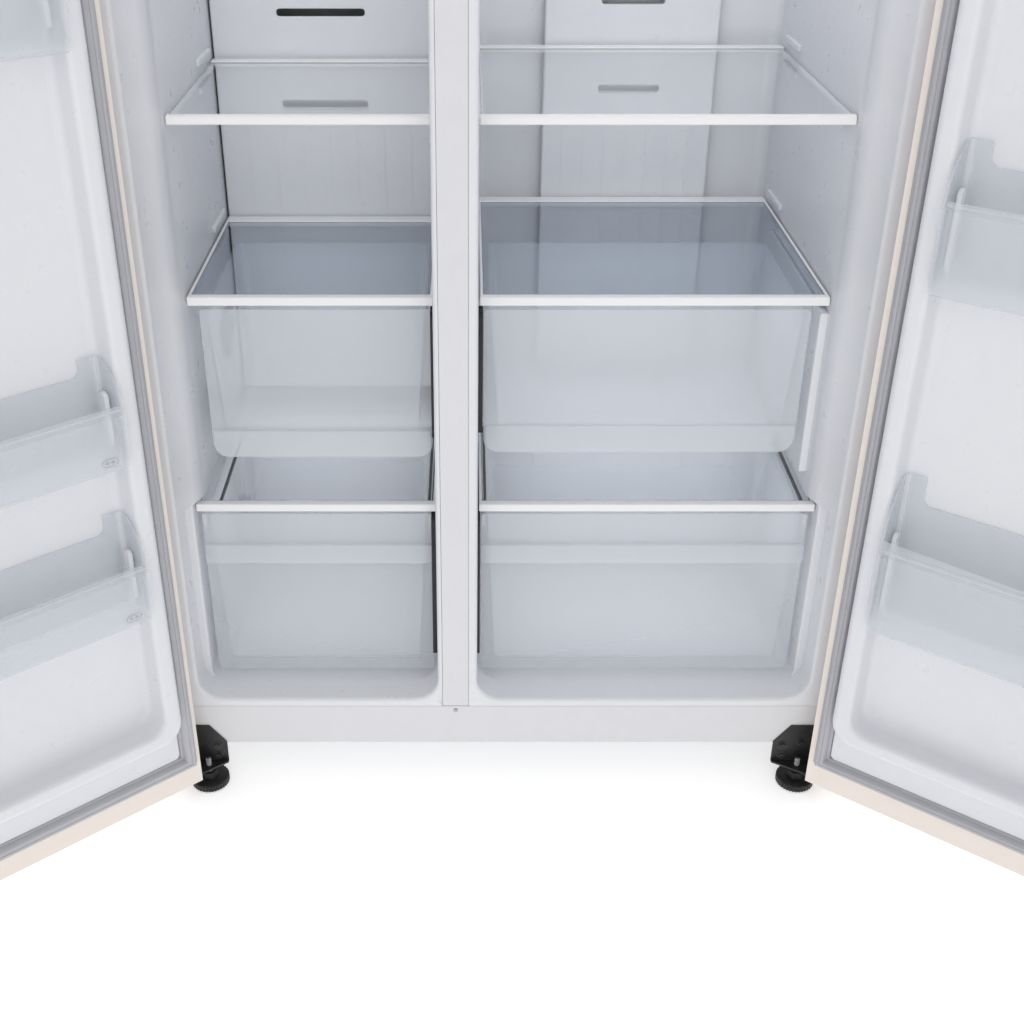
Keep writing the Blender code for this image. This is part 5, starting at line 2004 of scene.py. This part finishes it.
@dataclass
class MachineRoom:
    """Compressor, condenser, fans, drain pan and evaporator."""

    blades: int = 7

    def build(self) -> None:
        """Makes them all."""
        self.compressor()
        self.condenser()
        self.pan()
        self.fan("condenser_fan", Axis.X)
        self.fan("evaporator_fan", Axis.Y)
        self.evaporator()

    def compressor(self) -> None:
        """A welded pot with a seam round it, and its terminal box."""
        low, high = in_case().box("compressor")
        centre = (low + high) / 2
        radius = (high.x - low.x) / 2 - 0.0022
        pot = Shape().turn(
            [
                (0.0, low.z),
                (radius * 0.78, low.z + 0.004),
                (radius * 0.97, low.z + 0.030),
                (radius, low.z + 0.062),
                (radius, low.z + 0.072),
                (radius + 0.0020, low.z + 0.073),
                (radius + 0.0020, low.z + 0.079),
                (radius, low.z + 0.080),
                (radius * 0.985, low.z + 0.105),
                (radius * 0.88, low.z + 0.132),
                (radius * 0.60, low.z + 0.152),
                (radius * 0.25, high.z - 0.002),
                (0.0, high.z),
            ],
            (centre.x, centre.y, 0.0),
            Axis.Z,
            56,
        )
        pot.put("compressor_pot", in_case(), BLACK_PAINT, "compressor")
        box = Shape().block(
            (low.x - 0.030, centre.y - 0.026, low.z + 0.040),
            (low.x + 0.006, centre.y + 0.026, low.z + 0.095),
            0.004,
            3,
        )
        box.put("terminal_box", in_case(), BLACK_PLASTIC)

    def condenser(self) -> None:
        """The serpentine, as one tube with round bends."""
        low, high = in_case().box("condenser_coil")
        tube = 0.004
        x_ends = (low.x + tube, high.x - tube)
        y_ends = (low.y + tube, high.y - tube)
        rows = 6
        pitch = (high.z - low.z - 2 * tube) / (rows - 1)
        bend = pitch / 2
        route: list[Vector] = []
        for column, x in enumerate(x_ends):
            order = range(rows) if column == 0 else reversed(range(rows))
            rise = 1 if column == 0 else -1
            for row in order:
                z = low.z + tube + pitch * row
                forwards = row % 2 == column
                near, far = (y_ends if forwards else y_ends[::-1])
                way = 1 if forwards else -1
                route += [Vector((x, near + way * bend, z)), Vector((x, far - way * bend, z))]
                last = row == (rows - 1 if column == 0 else 0)
                if not last:
                    for turn in (30, 60, 90, 120, 150):
                        angle = math.radians(turn)
                        route.append(
                            Vector(
                                (
                                    x,
                                    far - way * bend + way * bend * math.sin(angle),
                                    z + rise * bend * (1 - math.cos(angle)),
                                )
                            )
                        )
                elif column == 0:
                    route.append(Vector((x, far, z)))
                    route.append(Vector((x_ends[1], far, z)))
        self.pipe("condenser_tube", route, tube, in_case(), COPPER, "condenser_coil")

    def pipe(
        self, name: str, route: list[Vector], radius: float, seat: Seat, finish: Finish, *replaced: str
    ) -> None:
        """A tube along a route, swept by a curve and made a mesh.

        Args:
            name: The piece's name.
            route: The points that it runs through.
            radius: Its radius.
            seat: Where it sits.
            finish: Its material.
            *replaced: The nodes that it stands for.
        """
        curve = bpy.data.curves.new(name, "CURVE")
        curve.dimensions = "3D"
        curve.bevel_depth = radius
        curve.bevel_resolution = 2
        curve.use_fill_caps = True
        spline = curve.splines.new("POLY")
        spline.points.add(len(route) - 1)
        for point, place in zip(spline.points, route):
            point.co = (*place, 1.0)
        carrier = bpy.data.objects.new(name, curve)
        bpy.context.scene.collection.objects.link(carrier)
        mesh = bpy.data.meshes.new_from_object(carrier.evaluated_get(bpy.context.evaluated_depsgraph_get()))
        bpy.data.objects.remove(carrier)
        bpy.data.curves.remove(curve)
        shape = Shape()
        shape.bm.from_mesh(mesh)
        bpy.data.meshes.remove(mesh)
        bmesh.ops.remove_doubles(shape.bm, verts=shape.bm.verts, dist=0.00001)
        shape.put(name, seat, finish, *replaced, smooth=60.0)

    def pan(self) -> None:
        """The drain pan and the fan's shroud."""
        Shape.of_node("drain_pan", in_case()).soften(0.0010, 2, 60.0).put(
            "drain_tray", in_case(), BLACK_PLASTIC, "drain_pan"
        )
        Shape.of_node("condenser_fan_shroud", in_case()).soften(0.0006, 1, 60.0).put(
            "fan_shroud", in_case(), BLACK_PLASTIC, "condenser_fan_shroud"
        )

    def fan(self, node: str, axis: Axis) -> None:
        """A hub with twisted blades.

        Args:
            node: Its node.
            axis: The axis that it spins about.
        """
        seat = in_case(node)
        low, high = seat.box(node)
        joint = next(j for j in frame["joints"] if j["child"] == node)
        hinge = Vector(joint["pos_m"]) - CASE_ORIGIN
        reach = min(high.z - hinge.z, hinge.z - low.z) - 0.001
        hub_radius = reach * 0.34
        half = 0.0078
        shape = Shape().turn(
            [
                (0.0, -half),
                (hub_radius - 0.002, -half),
                (hub_radius, -half + 0.002),
                (hub_radius, half),
                (0.0, half),
            ],
            (hinge.x, hinge.y, hinge.z),
            axis,
            32,
        )
        for number in range(self.blades):
            blade = Shape().block((-0.0007, -0.5, 0.0), (0.0007, 0.5, 1.0))
            bmesh.ops.subdivide_edges(blade.bm, edges=blade.bm.edges, cuts=4, use_grid_fill=True)
            for vert in blade.bm.verts:
                share = vert.co.z
                radius = hub_radius * 0.9 + (reach - hub_radius * 0.9) * share
                pitch = math.radians(48 - 20 * share)
                chord = vert.co.y * (0.016 + 0.016 * share)
                thick = vert.co.x
                along = thick * math.cos(pitch) + chord * math.sin(pitch) * 0.42
                sideways = chord * math.cos(pitch) - thick * math.sin(pitch)
                vert.co = Vector((along, sideways, radius))
            spin = Matrix.Rotation(math.tau * number / self.blades, 4, "X")
            blade.move(spin)
            if axis is Axis.Y:
                blade.move(Matrix.Rotation(math.pi / 2, 4, "Z"))
            blade.move(Matrix.Translation(hinge))
            shape.add(blade)
        shape.put(f"{node}_rotor", seat, BLACK_PLASTIC, node)

    def evaporator(self) -> None:
        """The evaporator: thin fins on a tube that runs to and fro."""
        low, high = in_case().box("evaporator")
        fins = 30
        shape = Shape()
        for number in range(fins):
            x = low.x + 0.006 + (high.x - low.x - 0.012) * number / (fins - 1)
            near = (x - 0.0003, low.y + 0.002, low.z + 0.010)
            shape.block(near, (x + 0.0003, high.y - 0.002, high.z - 0.010))
        shape.put("evaporator_fins", in_case(), ALUMINIUM, "evaporator")
        route: list[Vector] = []
        rows = 7
        pitch = (high.z - low.z - 0.050) / (rows - 1)
        bend = 0.005
        middle = (low.y + high.y) / 2
        ends = (low.x + 0.005, high.x - 0.005)
        for row in range(rows):
            z = low.z + 0.025 + pitch * row
            start, stop = ends if row % 2 == 0 else ends[::-1]
            way = 1 if row % 2 == 0 else -1
            route += [Vector((start + way * bend, middle, z)), Vector((stop - way * bend, middle, z))]
            if row < rows - 1:
                route += [Vector((stop, middle, z + bend)), Vector((stop, middle, z + pitch - bend))]
        self.pipe("evaporator_tube", route, 0.0038, in_case(), ALUMINIUM)


# ---- studio


@dataclass
class Studio:
    """The floor, the light and the camera."""

    eye: tuple[float, float, float] = (-0.0489, -1.46043, 1.29437)
    pitch: float = 30.0
    lens: float = 45.963
    shift_x: float = 0.0420
    shift_y: float = -0.0041

    def build(self) -> None:
        """Sets the stage."""
        self.floor()
        self.light()
        self.camera()
        scene = bpy.context.scene
        scene.view_settings.view_transform = "Standard"
        scene.cycles.max_bounces = 20
        scene.cycles.transmission_bounces = 20
        scene.cycles.transparent_max_bounces = 24

    def floor(self) -> None:
        """A pale floor that reaches past every view."""
        mesh = bpy.data.meshes.new("studio_floor")
        bm = bmesh.new()
        bmesh.ops.create_grid(bm, x_segments=2, y_segments=2, size=30.0)
        bm.to_mesh(mesh)
        bm.free()
        material = bpy.data.materials.new("pale_floor")
        material.use_nodes = True
        shader = material.node_tree.nodes["Principled BSDF"]
        shader.inputs["Base Color"].default_value = (0.93, 0.93, 0.93, 1.0)
        shader.inputs["Roughness"].default_value = 0.6
        shader.inputs["Emission Color"].default_value = (1.0, 1.0, 1.0, 1.0)
        shader.inputs["Emission Strength"].default_value = 0.45
        mesh.materials.append(material)
        obj = bpy.data.objects.new("studio_floor", mesh)
        bpy.context.scene.collection.objects.link(obj)

    def light(self) -> None:
        """An even white sky, and soft boxes in front and above."""
        world = bpy.data.worlds.new("studio_sky")
        world.use_nodes = True
        background = world.node_tree.nodes["Background"]
        background.inputs["Color"].default_value = (1.0, 1.0, 1.0, 1.0)
        background.inputs["Strength"].default_value = 0.38
        bpy.context.scene.world = world
        boxes = (
            ("front_box", (0.0, -3.2, 2.3), (66.0, 0.0, 0.0), (2.6, 2.6), 25.0),
            ("top_box", (0.0, -0.8, 3.6), (12.0, 0.0, 0.0), (2.2, 2.2), 10.0),
            ("low_box", (0.0, -2.6, 0.75), (88.0, 0.0, 0.0), (1.4, 1.4), 7.0),
            ("freezer_fill", (-0.26, 0.20, 1.68), (0.0, 0.0, 0.0), (0.22, 0.24), 1.1),
            ("fridge_fill", (0.19, 0.22, 1.68), (0.0, 0.0, 0.0), (0.34, 0.26), 1.6),
            ("freezer_upper_fill", (-0.245, 0.215, 0.694), (0.0, 0.0, 0.0), (0.24, 0.20), 0.16),
            ("fridge_upper_fill", (0.175, 0.215, 0.694), (0.0, 0.0, 0.0), (0.36, 0.20), 0.24),
            ("freezer_lower_fill", (-0.255, 0.19, 0.408), (0.0, 0.0, 0.0), (0.26, 0.20), 0.20),
            ("fridge_lower_fill", (0.190, 0.19, 0.408), (0.0, 0.0, 0.0), (0.38, 0.20), 0.30),
        )
        for name, place, turn, size, power in boxes:
            lamp = bpy.data.lights.new(name, "AREA")
            lamp.shape = "RECTANGLE"
            lamp.size, lamp.size_y = size
            lamp.energy = power
            obj = bpy.data.objects.new(name, lamp)
            obj.location = CASE_ORIGIN + Vector(place)
            obj.rotation_euler = [math.radians(angle) for angle in turn]
            obj.visible_camera = False
            obj.visible_glossy = False
            obj.visible_transmission = False
            bpy.context.scene.collection.objects.link(obj)

    def camera(self) -> None:
        """A camera before the case, looking down into it."""
        data = bpy.data.cameras.new("camera")
        data.lens = self.lens
        data.sensor_width = 36.0
        data.shift_x = self.shift_x
        data.shift_y = self.shift_y
        data.clip_end = 100.0
        obj = bpy.data.objects.new("camera", data)
        obj.location = CASE_ORIGIN + Vector(self.eye)
        obj.rotation_euler = (math.radians(90.0 - self.pitch), 0.0, 0.0)
        bpy.context.scene.collection.objects.link(obj)
        bpy.context.scene.camera = obj


def main() -> None:
    """Builds the appliance, one sub-assembly after another."""
    logging.basicConfig(level=logging.INFO, format="%(message)s")
    Studio().build()
    Case().build()
    Shelves().build()
    Drawers().build()
    freezer_bins = {"lower": (0.078, 0.136), "middle": (0.076, 0.126), "upper": (0.078, 0.136)}
    fridge_bins = {"lower": (0.120, 0.205), "middle": (0.100, 0.160), "upper": (0.080, 0.130)}
    Door("freezer_door", -1, bins=freezer_bins).build()
    Door("fridge_door", 1, gasket=(0.0086, 0.0300), bins=fridge_bins).build()
    Hardware().build()
    MachineRoom().build()


if __name__ == "__main__":
    main()
